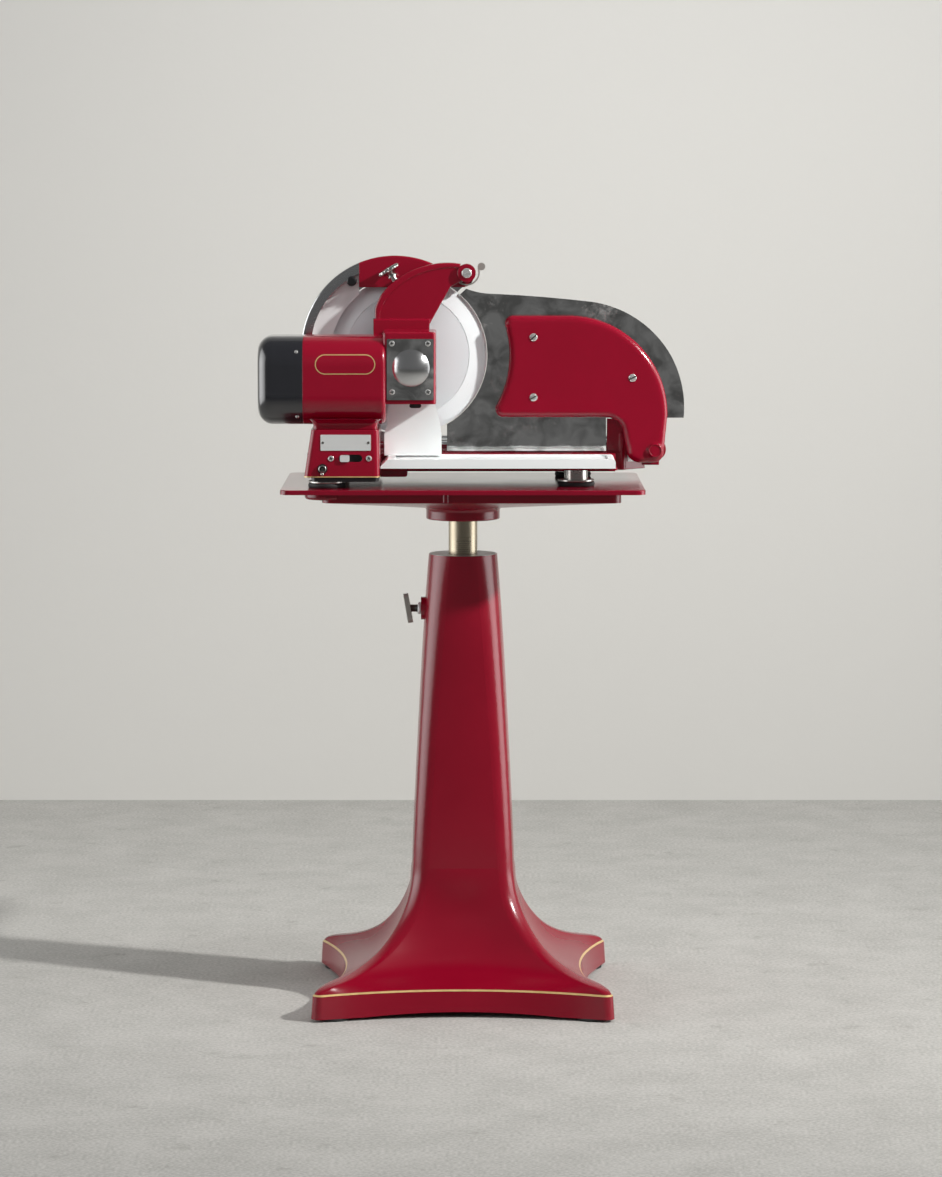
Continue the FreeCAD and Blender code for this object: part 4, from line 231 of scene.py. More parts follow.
@dataclass(frozen=True)
class StoveEnamel(Finish):
    """Sprayed stove enamel over filled cast iron.

    The eye gets deep colour under a hard gloss, long soft highlights and faint orange peel,
    drawn a little wider than real peel of 2 to 3 mm. The roll rounds the shading of edges.
    """

    shade: str
    drift_mm: float = 140.0
    peel_mm: float = 5.0
    peel_depth_mm: float = 0.012
    coat: float = 0.1
    coat_roughness: float = 0.12
    index: float = 1.46
    roll_mm: float = 0.0

    def work(self, recipe: Recipe) -> None:
        """Adds the clear gloss, the drift of the colour, the orange peel and the roll.

        Args:
            recipe: The material in the making.
        """
        recipe.fix({"Coat Weight": self.coat, "Coat Roughness": self.coat_roughness,
                    "IOR": self.index})
        recipe.mottle(self.drift_mm, (self.shade, self.colour), self.gloss(0.02, 0.03))
        under = None
        if self.roll_mm:
            roll = add_node(recipe.tree, "ShaderNodeBevel",
                            {"samples": 6, "Radius": self.roll_mm * MM})
            under = roll.outputs["Normal"]
        recipe.ripple(self.peel_mm, self.peel_depth_mm, 0.0, under)


@dataclass(frozen=True)
class PolishedMetal(Finish):
    """Buffed or plated metal.

    The eye gets a mirror with handling marks and the odd fine scratch, drawn coarser than
    real ones. A rolled sheet also has a slow wave that bends what it mirrors.
    """

    scratch_mm: float = 0.9
    haze: float = 0.08
    wave_mm: float = 0.0
    wave_depth_mm: float = 0.0
    deep: str = "9E9E9C"
    scratch_depth_mm: float = 0.0015
    smudge_mm: float = 35.0
    cloud_mm: float = 38.0
    drift_mm: float = 70.0
    fleck_mm: float = 9.0

    def work(self, recipe: Recipe) -> None:
        """Adds smudges in the gloss and scratches that run across the piece.

        Args:
            recipe: The material in the making.
        """
        tree, coords = recipe.tree, recipe.coords
        recipe.fix({"Metallic": 1.0})
        stretched = add_node(tree, "ShaderNodeMapping",
                             {"Rotation": (0.3, 0.8, 0.2), "Scale": (0.06, 1.0, 1.0)},
                             {"Vector": coords})
        scratches = add_node(tree, "ShaderNodeTexNoise",
                             {"Scale": 1 / (self.scratch_mm * MM), "Detail": 3.0},
                             {"Vector": stretched.outputs["Vector"]})
        smudges = add_node(tree, "ShaderNodeTexNoise",
                           {"Scale": 1 / (self.smudge_mm * MM), "Detail": 3.0},
                           {"Vector": coords})
        both = add_node(tree, "ShaderNodeMath", {"operation": "MULTIPLY"},
                        {0: scratches.outputs["Fac"], 1: smudges.outputs["Fac"]})
        under = self._wave(recipe) if self.wave_mm else None
        recipe.score(scratches.outputs["Fac"], self.scratch_depth_mm, both.outputs["Value"],
                     (0.15, 0.4), self.gloss(0.0, self.haze), under)

    def _wave(self, recipe: Recipe) -> bpy.types.NodeSocket:
        """Adds a sheet's slow wave, the haze that comes and goes, and pale dried marks.

        Args:
            recipe: The material in the making.

        Returns:
            The normal of the waved sheet.
        """
        tree, place = recipe.tree, {"Vector": recipe.coords}
        haze = add_node(tree, "ShaderNodeTexNoise",
                        {"Scale": 1 / (self.cloud_mm * MM), "Detail": 5.0, "Distortion": 0.6},
                        place)
        depth = add_node(tree, "ShaderNodeMapRange", {"From Min": 0.38, "From Max": 0.62},
                         {"Value": haze.outputs["Fac"]})
        tint = add_node(tree, "ShaderNodeMix",
                        {"data_type": "RGBA", 6: linear(self.deep), 7: linear(self.colour)},
                        {0: depth.outputs["Result"]})
        recipe.feed("Base Color", tint.outputs[2])
        drifts = add_node(tree, "ShaderNodeTexNoise",
                          {"Scale": 1 / (self.drift_mm * MM), "Detail": 1.0}, place)
        flecks = add_node(tree, "ShaderNodeTexNoise",
                          {"Scale": 1 / (self.fleck_mm * MM), "Detail": 6.0,
                           "Roughness": 0.75}, place)
        both = add_node(tree, "ShaderNodeMath", {"operation": "MULTIPLY"},
                        {0: drifts.outputs["Fac"], 1: flecks.outputs["Fac"]})
        dull = add_node(tree, "ShaderNodeMapRange",
                        {"From Min": 0.31, "From Max": 0.42, "To Min": 1.0, "To Max": 0.75},
                        {"Value": both.outputs["Value"]})
        recipe.feed("Metallic", dull.outputs["Result"])
        wave = add_node(tree, "ShaderNodeTexNoise",
                        {"Scale": 1 / (self.wave_mm * MM), "Detail": 2.0}, place)
        slow = add_node(tree, "ShaderNodeBump",
                        {"Strength": 1.0, "Distance": self.wave_depth_mm * MM},
                        {"Height": wave.outputs["Fac"]})
        return slow.outputs["Normal"]


@dataclass(frozen=True)
class BrushedMetal(Finish):
    """Metal brushed in one direction.

    The eye gets hair lines that blur reflections across the grain, drawn coarser than real
    ones of about 0.1 mm so that they show.
    """

    grain: Axis
    line_mm: float
    metallic: float = 1.0
    line_depth_mm: float = 0.004
    stretch: float = 0.02

    def work(self, recipe: Recipe) -> None:
        """Adds hair lines along the grain.

        Args:
            recipe: The material in the making.
        """
        recipe.fix({"Metallic": self.metallic})
        scale = [1.0, 1.0, 1.0]
        scale[self.grain.value] = self.stretch
        stretched = add_node(recipe.tree, "ShaderNodeMapping", {"Scale": tuple(scale)},
                             {"Vector": recipe.coords})
        lines = add_node(recipe.tree, "ShaderNodeTexNoise",
                         {"Scale": 1 / (self.line_mm * MM), "Detail": 4.0, "Roughness": 0.65},
                         {"Vector": stretched.outputs["Vector"]}).outputs["Fac"]
        recipe.score(lines, self.line_depth_mm, lines, (0.35, 0.65), self.gloss(0.06, 0.08))


@dataclass(frozen=True)
class TurnedMetal(Finish):
    """Metal turned or ground round an axis.

    The eye gets fine rings about the axis, and light that fans out across them.
    """

    centre: Triple
    axis: Axis
    ring_mm: float
    along_mm: float
    anisotropy: float = 0.6
    metallic: float = 1.0
    ring_depth_mm: float = 0.004
    drift_mm: float = 60.0

    def work(self, recipe: Recipe) -> None:
        """Adds rings as noise over the radius and the height, with the tangent round the axis.

        Args:
            recipe: The material in the making.
        """
        tree = recipe.tree
        recipe.fix({"Metallic": self.metallic, "Anisotropic": self.anisotropy})
        spin = tuple(float(i == self.axis.value) for i in range(3))
        flat = tuple(1.0 - s for s in spin)
        middle = tuple(c * MM for c in self.centre)
        local = add_node(tree, "ShaderNodeVectorMath", {"operation": "SUBTRACT", 1: middle},
                         {0: recipe.coords}).outputs["Vector"]
        level = add_node(tree, "ShaderNodeVectorMath", {"operation": "MULTIPLY", 1: flat},
                         {0: local}).outputs["Vector"]
        radius = add_node(tree, "ShaderNodeVectorMath", {"operation": "LENGTH"}, {0: level})
        height = add_node(tree, "ShaderNodeVectorMath",
                          {"operation": "DOT_PRODUCT", 1: spin}, {0: local})
        place = add_node(tree, "ShaderNodeCombineXYZ",
                         links={"X": radius.outputs["Value"], "Y": height.outputs["Value"]})
        scaled = add_node(tree, "ShaderNodeVectorMath",
                          {"operation": "MULTIPLY",
                           1: (1 / (self.ring_mm * MM), 1 / (self.along_mm * MM), 1.0)},
                          {0: place.outputs["Vector"]})
        rings = add_node(tree, "ShaderNodeTexNoise",
                         {"Scale": 1.0, "Detail": 3.0, "Roughness": 0.7},
                         {"Vector": scaled.outputs["Vector"]})
        drift = add_node(tree, "ShaderNodeTexNoise",
                         {"Scale": 1 / (self.drift_mm * MM), "Detail": 1.0},
                         {"Vector": recipe.coords})
        both = add_node(tree, "ShaderNodeMath", {"operation": "ADD"},
                        {0: rings.outputs["Fac"], 1: drift.outputs["Fac"]})
        recipe.score(rings.outputs["Fac"], self.ring_depth_mm, both.outputs["Value"],
                     (0.7, 1.3), self.gloss(0.06, 0.08))
        around = add_node(tree, "ShaderNodeVectorMath",
                          {"operation": "CROSS_PRODUCT", 1: spin}, {0: level})
        unit = add_node(tree, "ShaderNodeVectorMath", {"operation": "NORMALIZE"},
                        {0: around.outputs["Vector"]})
        recipe.feed("Tangent", unit.outputs["Vector"])


@dataclass(frozen=True)
class CastMetal(Finish):
    """Sand-cast or die-cast metal, lightly blasted.

    The eye gets a satin with a fine even grain, drawn coarser than real grit of 0.3 mm.
    """

    patch_mm: float = 40.0
    grain_mm: float = 1.4
    grain_depth_mm: float = 0.02

    def work(self, recipe: Recipe) -> None:
        """Adds the grain and soft patches of gloss.

        Args:
            recipe: The material in the making.
        """
        recipe.fix({"Metallic": 1.0})
        recipe.mottle(self.patch_mm, (self.colour, self.colour), self.gloss(0.05, 0.08))
        recipe.ripple(self.grain_mm, self.grain_depth_mm, 3.0)


@dataclass(frozen=True)
class Moulded(Finish):
    """Moulded rubber or plastic, coloured right through.

    The eye gets the mould's fine grain and patches that are rubbed paler.
    """

    worn: str
    grain_mm: float
    grain_depth_mm: float
    patch_mm: float = 22.0

    def work(self, recipe: Recipe) -> None:
        """Adds rubbed patches and the grain.

        Args:
            recipe: The material in the making.
        """
        recipe.mottle(self.patch_mm, (self.colour, self.worn), self.gloss(0.05, 0.08))
        recipe.ripple(self.grain_mm, self.grain_depth_mm)


@dataclass(frozen=True)
class LinePaint(Finish):
    """Gold line enamel laid on with a lining brush.

    The eye gets a pale gold that is slightly uneven, with metal flake in it.
    """

    deep: str
    flake: float = 0.35
    coat: float = 0.4
    drift_mm: float = 14.0

    def work(self, recipe: Recipe) -> None:
        """Adds the flake and the brush's drift.

        Args:
            recipe: The material in the making.
        """
        recipe.fix({"Metallic": self.flake, "Coat Weight": self.coat, "Coat Roughness": 0.08})
        recipe.mottle(self.drift_mm, (self.deep, self.colour), self.gloss(0.05, 0.08))
        recipe.ripple(wave_mm=1.0, depth_mm=0.01)


@dataclass(frozen=True)
class Concrete(Finish):
    """Trowelled pale concrete floor.

    The eye gets a dull ground with faint clouds, fine speckle and a few dark stains.
    """

    cloud: str
    stain: str = "8D8B86"
    clouds_per_metre: float = 7.0
    stains_per_metre: float = 13.0
    speck_mm: float = 6.0

    def work(self, recipe: Recipe) -> None:
        """Adds clouds, speckle and stains.

        Args:
            recipe: The material in the making.
        """
        tree, place = recipe.tree, {"Vector": recipe.coords}
        clouds = add_node(tree, "ShaderNodeTexNoise",
                          {"Scale": self.clouds_per_metre, "Detail": 8.0, "Roughness": 0.7},
                          place)
        specks = add_node(tree, "ShaderNodeTexNoise",
                          {"Scale": 1 / (self.speck_mm * MM), "Detail": 5.0}, place)
        both = add_node(tree, "ShaderNodeMix", {"data_type": "FLOAT", 0: 0.65},
                        {2: clouds.outputs["Fac"], 3: specks.outputs["Fac"]})
        spread = add_node(tree, "ShaderNodeMapRange", {"From Min": 0.4, "From Max": 0.6},
                          {"Value": both.outputs[0]})
        tint = add_node(tree, "ShaderNodeMix",
                        {"data_type": "RGBA", 6: linear(self.cloud), 7: linear(self.colour)},
                        {0: spread.outputs["Result"]})
        spots = add_node(tree, "ShaderNodeTexNoise",
                         {"Scale": self.stains_per_metre, "Detail": 5.0, "Roughness": 0.7},
                         place)
        spotted = add_node(tree, "ShaderNodeMapRange",
                           {"From Min": 0.60, "From Max": 0.72, "To Max": 0.55},
                           {"Value": spots.outputs["Fac"]})
        worn = add_node(tree, "ShaderNodeMix", {"data_type": "RGBA", 7: linear(self.stain)},
                        {0: spotted.outputs["Result"], 6: tint.outputs[2]})
        recipe.feed("Base Color", worn.outputs[2])
        recipe.ripple(wave_mm=12.0, depth_mm=0.4, detail=4.0)


@dataclass(frozen=True)
class PaintedWall(Finish):
    """Matt emulsion on plaster.

    The eye gets a plain pale ground with the roller's faint relief, and from behind nothing,
    so that the far side of the object can be seen.
    """

    def work(self, recipe: Recipe) -> None:
        """Adds the roller's faint relief."""
        recipe.ripple(wave_mm=25.0, depth_mm=0.3)

    def result(self, recipe: Recipe) -> bpy.types.NodeSocket:
        """Lets rays through the wall from behind.

        Args:
            recipe: The material in the making.

        Returns:
            The socket that goes to the material's output.
        """
        side = add_node(recipe.tree, "ShaderNodeNewGeometry")
        clear = add_node(recipe.tree, "ShaderNodeBsdfTransparent")
        mixed = add_node(recipe.tree, "ShaderNodeMixShader",
                         links={0: side.outputs["Backfacing"],
                                1: recipe.shader.outputs["BSDF"], 2: clear.outputs["BSDF"]})
        return mixed.outputs["Shader"]


KNIFE_CENTRE = (-96.2, 0.0, 1122.3)
MOTOR_CENTRE = (-90.0, -90.0, 1085.5)
POST_CENTRE = (0.0, 0.0, 0.0)

# Enamel: broad soft highlights on the big castings, a clearer mirror on the flat plate, and
# wide shading at the edges of small castings, widest on the gauge's.
RED = StoveEnamel("red_stove_enamel", "860320", 0.24, "77021B", coat=0.2)
TABLE_RED = StoveEnamel("red_enamel_on_flat_plate", "830322", 0.13, "74021C", peel_mm=30.0,
                        peel_depth_mm=0.02, coat=0.3)
RED_SMOOTH = StoveEnamel("red_enamel_on_small_castings", "900325", 0.20, "860220",
                         peel_depth_mm=0.008, coat=0.25, roll_mm=2.5)
RED_ROLLED = replace(RED_SMOOTH, name="red_enamel_on_rolled_edges", roll_mm=8.0)
GLOSS_BLACK = StoveEnamel("black_gloss_enamel", "1F2026", 0.22, "17181D", peel_mm=6.0,
                          peel_depth_mm=0.008, coat=1.0, index=1.6)
GOLD = LinePaint("gold_line_paint", "E4CB90", 0.36, "C3A468")

# Polished metals: clean plating first, then the sheet that mirrors the room in slow waves, then
# plating that hands have dulled.
CHROME = PolishedMetal("chrome_plate", "D9DADB", 0.06)
MIRROR = PolishedMetal("mirror_polished_stainless", "DEDEDC", 0.03, scratch_mm=1.6, haze=0.06,
                       wave_mm=45.0, wave_depth_mm=0.25, deep="A2A2A0")
DOME = PolishedMetal("buffed_chrome_dome", "D0D1D2", 0.20, scratch_mm=1.2, haze=0.06)
DARK_CHROME = PolishedMetal("rubbed_chrome_plate", "C6C6C4", 0.20, scratch_mm=0.9, haze=0.10)
WORN_CHROME = PolishedMetal("worn_chrome_plate", "B9B8B3", 0.22, scratch_mm=1.2, haze=0.14)
GUARD_STEEL = PolishedMetal("polished_guard_steel", "C6C7C8", 0.16, scratch_mm=0.7, haze=0.12)

# Brushed metals. The pale ones carry painted reflection: their near-white colour stands in for
# the light of a whole pale room that their satin would mirror, instead of a high metallic value,
# and the bluish tint of some is painted against the red light that the enamel throws on them.
BRIGHT_SHEET = BrushedMetal("satin_aluminium_with_painted_reflection", "F4FBFB", 0.42, Axis.X, 2.5, 0.06)
PLATE = BrushedMetal("aluminium_plate_with_painted_reflection", "E2E4E3", 0.42, Axis.X, 1.2, 0.35)
FACE = BrushedMetal("blade_face_with_painted_reflection", "EAF1F4", 0.34, Axis.Z, 6.0, 0.22)
SCREW_STEEL = BrushedMetal("screw_steel_with_painted_reflection", "E0E0DE", 0.24, Axis.X, 1.0, 0.7)
# Painted shade: the dark recess finish colours the walls and floors of screw slots and crosses.
RECESS_SHADE = BrushedMetal("painted_shade_in_screw_recess", "2C2B2A", 0.55, Axis.X, 1.0, 0.3)
WORN_STEEL = BrushedMetal("worn_grey_steel", "A6A49E", 0.45, Axis.Z, 1.4, 0.5)
# Blackened steel is the real dark finish of the bolts, thread and stator; on the plate's rivets
# it is painted shade.
BOLT_STEEL = BrushedMetal("blackened_steel_and_rivet_shade", "6B6A66", 0.38, Axis.Z, 1.0)

# Turned and ground metals: rings on the knife, its guard and the column's top, and lines round
# the post and the drive. The knife and its guard carry painted reflection like the pale sheets:
# their near-white, bluish colour stands in for the room's light that their satin would mirror.
BLADE = TurnedMetal("ground_blade_steel_with_painted_reflection", "F0F6F8", 0.32, KNIFE_CENTRE, Axis.Y, ring_mm=1.4,
                    along_mm=3.0, metallic=0.12)
CRESCENT_STEEL = TurnedMetal("satin_guard_steel_with_painted_reflection", "F2F5F5", 0.34, KNIFE_CENTRE, Axis.Y,
                             ring_mm=1.0, along_mm=3.0, anisotropy=0.4, metallic=0.08)
POST_STEEL = TurnedMetal("turned_post_steel", "A89E8A", 0.32, POST_CENTRE, Axis.Z,
                         ring_mm=30.0, along_mm=1.2, anisotropy=0.5)
CAST_IRON = TurnedMetal("machined_cast_iron", "9B9B99", 0.42, POST_CENTRE, Axis.Z,
                        ring_mm=1.2, along_mm=30.0, anisotropy=0.3, metallic=0.7)
SPINDLE_STEEL = TurnedMetal("ground_spindle_steel", "B9BABB", 0.22, MOTOR_CENTRE, Axis.X,
                            ring_mm=30.0, along_mm=1.2)

# Castings, rubber and plastic: satin grey, dull black, and black with a soft sheen.
CAST_ALUMINIUM = CastMetal("blasted_cast_aluminium", "BFC0BF", 0.40)
RUBBER = Moulded("black_rubber", "161617", 0.62, "232324", 1.0, 0.03)
BLACK_PLASTIC = Moulded("black_phenolic", "131315", 0.34, "1E1E20", 0.8, 0.01)

# The room: dull pale floor and wall.
FLOOR = Concrete("pale_concrete", "BAB9B5", 0.85, "A2A19D")
WALL = PaintedWall("pale_wall_paint", "D8D7D3", 0.9)


# ================================================================ mesh building
class MeshKit:
    """Small set of forms drawn into a bmesh in millimetres."""

    @staticmethod
    def frame_of(axis: Vector) -> tuple[Vector, Vector, Vector]:
        """Makes a square frame on an axis.

        Args:
            axis: Direction of the axis.

        Returns:
            Two unit vectors across the axis, and the axis made unit.
        """
        a = axis.normalized()
        helper = Z_AXIS if abs(a.z) < 0.9 else X_AXIS
        u = a.cross(helper).normalized()
        return u, a.cross(u), a

    @staticmethod
    def lathe(bm: bmesh.types.BMesh, profile: Sequence[Pair], origin: Vector, axis: Vector,
              segments: int) -> list[bmesh.types.BMVert]:
        """Revolves a profile about an axis.

        Args:
            bm: Mesh that gets the faces.
            profile: Points (radius, distance along the axis), in order.
            origin: Start of the axis.
            axis: Direction of the axis.
            segments: Steps round the axis.

        Returns:
            The new vertices.
        """
        u, v, a = MeshKit.frame_of(axis)
        rings = []
        for radius, along in profile:
            base = origin + a * along
            if radius < 1e-6:
                rings.append([bm.verts.new(base)])
                continue
            ring = []
            for i in range(segments):
                t = 2 * math.pi * i / segments
                ring.append(bm.verts.new(base + (u * math.cos(t) + v * math.sin(t)) * radius))
            rings.append(ring)
        for low, high in zip(rings, rings[1:]):
            for i in range(segments):
                j = (i + 1) % segments
                corners = [low[i % len(low)], low[j % len(low)],
                           high[j % len(high)], high[i % len(high)]]
                unique = list(dict.fromkeys(corners))
                if len(unique) > 2:
                    bm.faces.new(unique)
        return [vert for ring in rings for vert in ring]

    @staticmethod
    def hoop(bm: bmesh.types.BMesh, path: Sequence[Vector], radius: float, sides: int) -> None:
        """Runs a round section along a closed path.

        Args:
            bm: Mesh that gets the faces.
            path: Points of the centre line, which closes on itself.
            radius: Radius of the section.
            sides: Sides of the section.
        """
        rings = []
        up = None
        for i, point in enumerate(path):
            t = (path[(i + 1) % len(path)] - path[i - 1]).normalized()
            up = MeshKit.frame_of(t)[0] if up is None else (up - t * up.dot(t)).normalized()
            side = t.cross(up)
            rings.append([bm.verts.new(point + (up * math.cos(a) + side * math.sin(a)) * radius)
                          for a in (2 * math.pi * k / sides for k in range(sides))])
        for low, high in zip(rings, rings[1:] + rings[:1]):
            for k in range(sides):
                m = (k + 1) % sides
                bm.faces.new((low[k], low[m], high[m], high[k]))

    @staticmethod
    def slab(bm: bmesh.types.BMesh, outline: Sequence[Pair], y0: float, y1: float) -> None:
        """Fills an XZ outline and gives it thickness along Y.

        Args:
            bm: Mesh that gets the faces.
            outline: Points (x, z), counter-clockwise.
            y0: Front plane.
            y1: Back plane.
        """
        front = [bm.verts.new((x, y0, z)) for x, z in outline]
        back = [bm.verts.new((x, y1, z)) for x, z in outline]
        bm.faces.new(front)
        bm.faces.new(list(reversed(back)))
        for i, vert in enumerate(front):
            j = (i + 1) % len(front)
            bm.faces.new((vert, back[i], back[j], front[j]))

    @staticmethod
    def skin_of(node: str, low: float, high: float,
                keep: Callable[[Vector, Vector], bool], lift: float) -> bmesh.types.BMesh:
        """Copies a level band of a CAD node's surface and lifts it off.

        Args:
            node: Name of the node.
            low: Lower height of the band.
            high: Upper height of the band.
            keep: Says from a face's middle and normal whether it stays.
            lift: Distance that the copy stands off the surface.

        Returns:
            A new mesh of the band.
        """
        bm = bmesh.new()
        bm.from_mesh(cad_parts[node].data)
        bmesh.ops.scale(bm, vec=Vector((1, 1, 1)) / MM, verts=bm.verts)
        bmesh.ops.remove_doubles(bm, verts=bm.verts, dist=0.001)
        for level, clear_inner in ((low, True), (high, False)):
            bmesh.ops.bisect_plane(bm, geom=bm.verts[:] + bm.edges[:] + bm.faces[:],
                                   plane_co=(0, 0, level), plane_no=(0, 0, 1),
                                   clear_inner=clear_inner, clear_outer=not clear_inner)
        bm.normal_update()
        gone = [f for f in bm.faces if not keep(f.calc_center_median(), f.normal)]
        bmesh.ops.delete(bm, geom=gone, context="FACES")
        bm.normal_update()
        moves = [(v, v.normal * lift) for v in bm.verts]
        for vert, move in moves:
            vert.co += move
        return bm


def dress(finish: Finish, *nodes: str) -> None:
    """Gives CAD nodes one finish.

    Args:
        finish: The finish.
        nodes: Names of the nodes.
    """
    for node in nodes:
        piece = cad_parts[node]
        piece.data.materials.clear()
        piece.data.materials.append(finish.material())
        LOG.info("dressed %s with %s", node, finish.name)


def add_piece(name: str, bm: bmesh.types.BMesh, finish: Finish, body: str,
              replaces: Sequence[str] = (), crease: float = 32.0) -> None:
    """Turns a bmesh in millimetres into a piece that rides on a body.

    Args:
        name: Name of the piece.
        bm: Its mesh, which is freed.
        finish: Its finish.
        body: CAD body that it rides on.
        replaces: CAD nodes that it stands for.
        crease: Angle in degrees past which an edge stays sharp.
    """
    bmesh.ops.remove_doubles(bm, verts=bm.verts, dist=1e-4)
    bmesh.ops.recalc_face_normals(bm, faces=bm.faces)
    mesh = bpy.data.meshes.new(name)
    bm.to_mesh(mesh)
    bm.free()
    mesh.transform(Matrix.Scale(MM, 4))
    mesh.shade_smooth()
    mesh.set_sharp_from_angle(angle=math.radians(crease))
    mesh.materials.append(finish.material())
    # Faces sunk into a screw's recess take the dark recess finish, painted shade in the recess.
    if any(face.material_index for face in mesh.polygons):
        mesh.materials.append(RECESS_SHADE.material())
    piece = bpy.data.objects.new(name, mesh)
    bpy.context.scene.collection.objects.link(piece)
    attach(piece, body)
    if replaces:
        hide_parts(*replaces)
    LOG.info("made %s", name)


def surface_of(node: str) -> BVHTree:
    """Makes a ray tree of a CAD node in millimetres.

    Args:
        node: Name of the node.

    Returns:
        The tree.
    """
    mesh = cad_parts[node].data
    points = [v.co / MM for v in mesh.vertices]
    return BVHTree.FromPolygons(points, [tuple(p.vertices) for p in mesh.polygons])


def middle_of(node: str) -> Vector:
    """Finds the middle of a CAD node's box in millimetres.

    Args:
        node: Name of the node.

    Returns:
        The middle.
    """
    points = [v.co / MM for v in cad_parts[node].data.vertices]
    return Vector([(min(p[i] for p in points) + max(p[i] for p in points)) / 2
                   for i in range(3)])


class Drive(Enum):
    """Recess in a screw's head: the turns of its arms in degrees, and their reach in radii."""

    SLOT = ((0.0,), 1.2)
    CROSS = ((0.0, 90.0), 0.62)
    PLAIN = ((), 0.0)


@dataclass(frozen=True)
class Screw:
    """Round-headed screw seen from outside, with its recess, whose floor takes the second finish.

    Its shares are parts of its radius or its height. The second finish on the recess's walls and
    floor is painted shade: a dark colour where shade falls in the slot or cross.
    """

    radius: float
    height: float
    drive: Drive
    turn: float = 0.0
    rim_share: float = 0.35
    groove_share: float = 0.16
    cut_share: float = 0.4
    floor_share: float = 0.08

    def place(self, name: str, at: Vector, out: Vector = FRONT, body: str = "table",
              finish: Finish = SCREW_STEEL) -> None:
        """Adds the head as a piece.

        Args:
            name: Name of the piece.
            at: Middle of the seat.
            out: Direction that the head faces.
            body: CAD body that it rides on.
            finish: Its finish.
        """
        r, h, rim = self.radius, self.height, self.rim_share
        bm = bmesh.new()
        dome = [(r, 0.0), (r, h * rim)]
        dome += [(r * math.cos(t), h * (rim + (1 - rim) * math.sin(t)))
                 for t in (math.radians(a) for a in (20, 40, 60, 75))] + [(0.0, h)]
        MeshKit.lathe(bm, dome, at, out, segments=40)
        u, v, a = MeshKit.frame_of(out)
        arms, reach = self.drive.value
        for arm in arms:
            t = math.radians(self.turn) + math.radians(arm)
            self._carve(bm, at, u * math.cos(t) + v * math.sin(t), a, r * reach)
        bm.verts.index_update()
        bm.faces.sort(key=self._rank)
        add_piece(name, bm, finish, body)

    @staticmethod
    def _rank(face: bmesh.types.BMFace) -> float:
        """Ranks a face by its first three vertices, so that each run has the same order.

        Args:
            face: A face of a mesh with fewer than 1000 vertices.

        Returns:
            The rank.
        """
        first, second, third = sorted(vert.index for vert in face.verts)[:3]
        return first * 1e6 + second * 1e3 + third

    def _carve(self, bm: bmesh.types.BMesh, at: Vector, along: Vector, out: Vector,
               reach: float) -> None:
        """Sinks a straight groove into the head by cutting its faces and lowering the strip.

        Args:
            bm: Mesh of the head.
            at: Middle of the seat.
            along: Direction of the groove.
            out: Direction that the head faces.
            reach: Half the groove's length.
        """
        across = out.cross(along)
        half_width = self.radius * self.groove_share
        for half, normal in ((half_width, across), (reach, along)):
            for side in (-1, 1):
                bmesh.ops.bisect_plane(bm, geom=bm.verts[:] + bm.edges[:] + bm.faces[:],
                                       plane_co=at + normal * (side * half), plane_no=normal)
        strip = []
        for f in bm.faces:
            c = f.calc_center_median() - at
            if (abs(c.dot(across)) < half_width and abs(c.dot(along)) < reach
                    and c.dot(out) > self.height * self.cut_share):
                strip.append(f)
        sunk = bmesh.ops.extrude_face_region(bm, geom=strip)["geom"]
        # The groove's walls and floor take the second finish, painted shade in the groove.
        for f in sunk:
            if isinstance(f, bmesh.types.BMFace):
                f.material_index = 1
        verts = [v for v in sunk if isinstance(v, bmesh.types.BMVert)]
        bmesh.ops.delete(bm, geom=strip, context="FACES_ONLY")
        floor = self.height * self.floor_share
        for vert in verts:
            vert.co -= out * ((vert.co - at).dot(out) - floor)


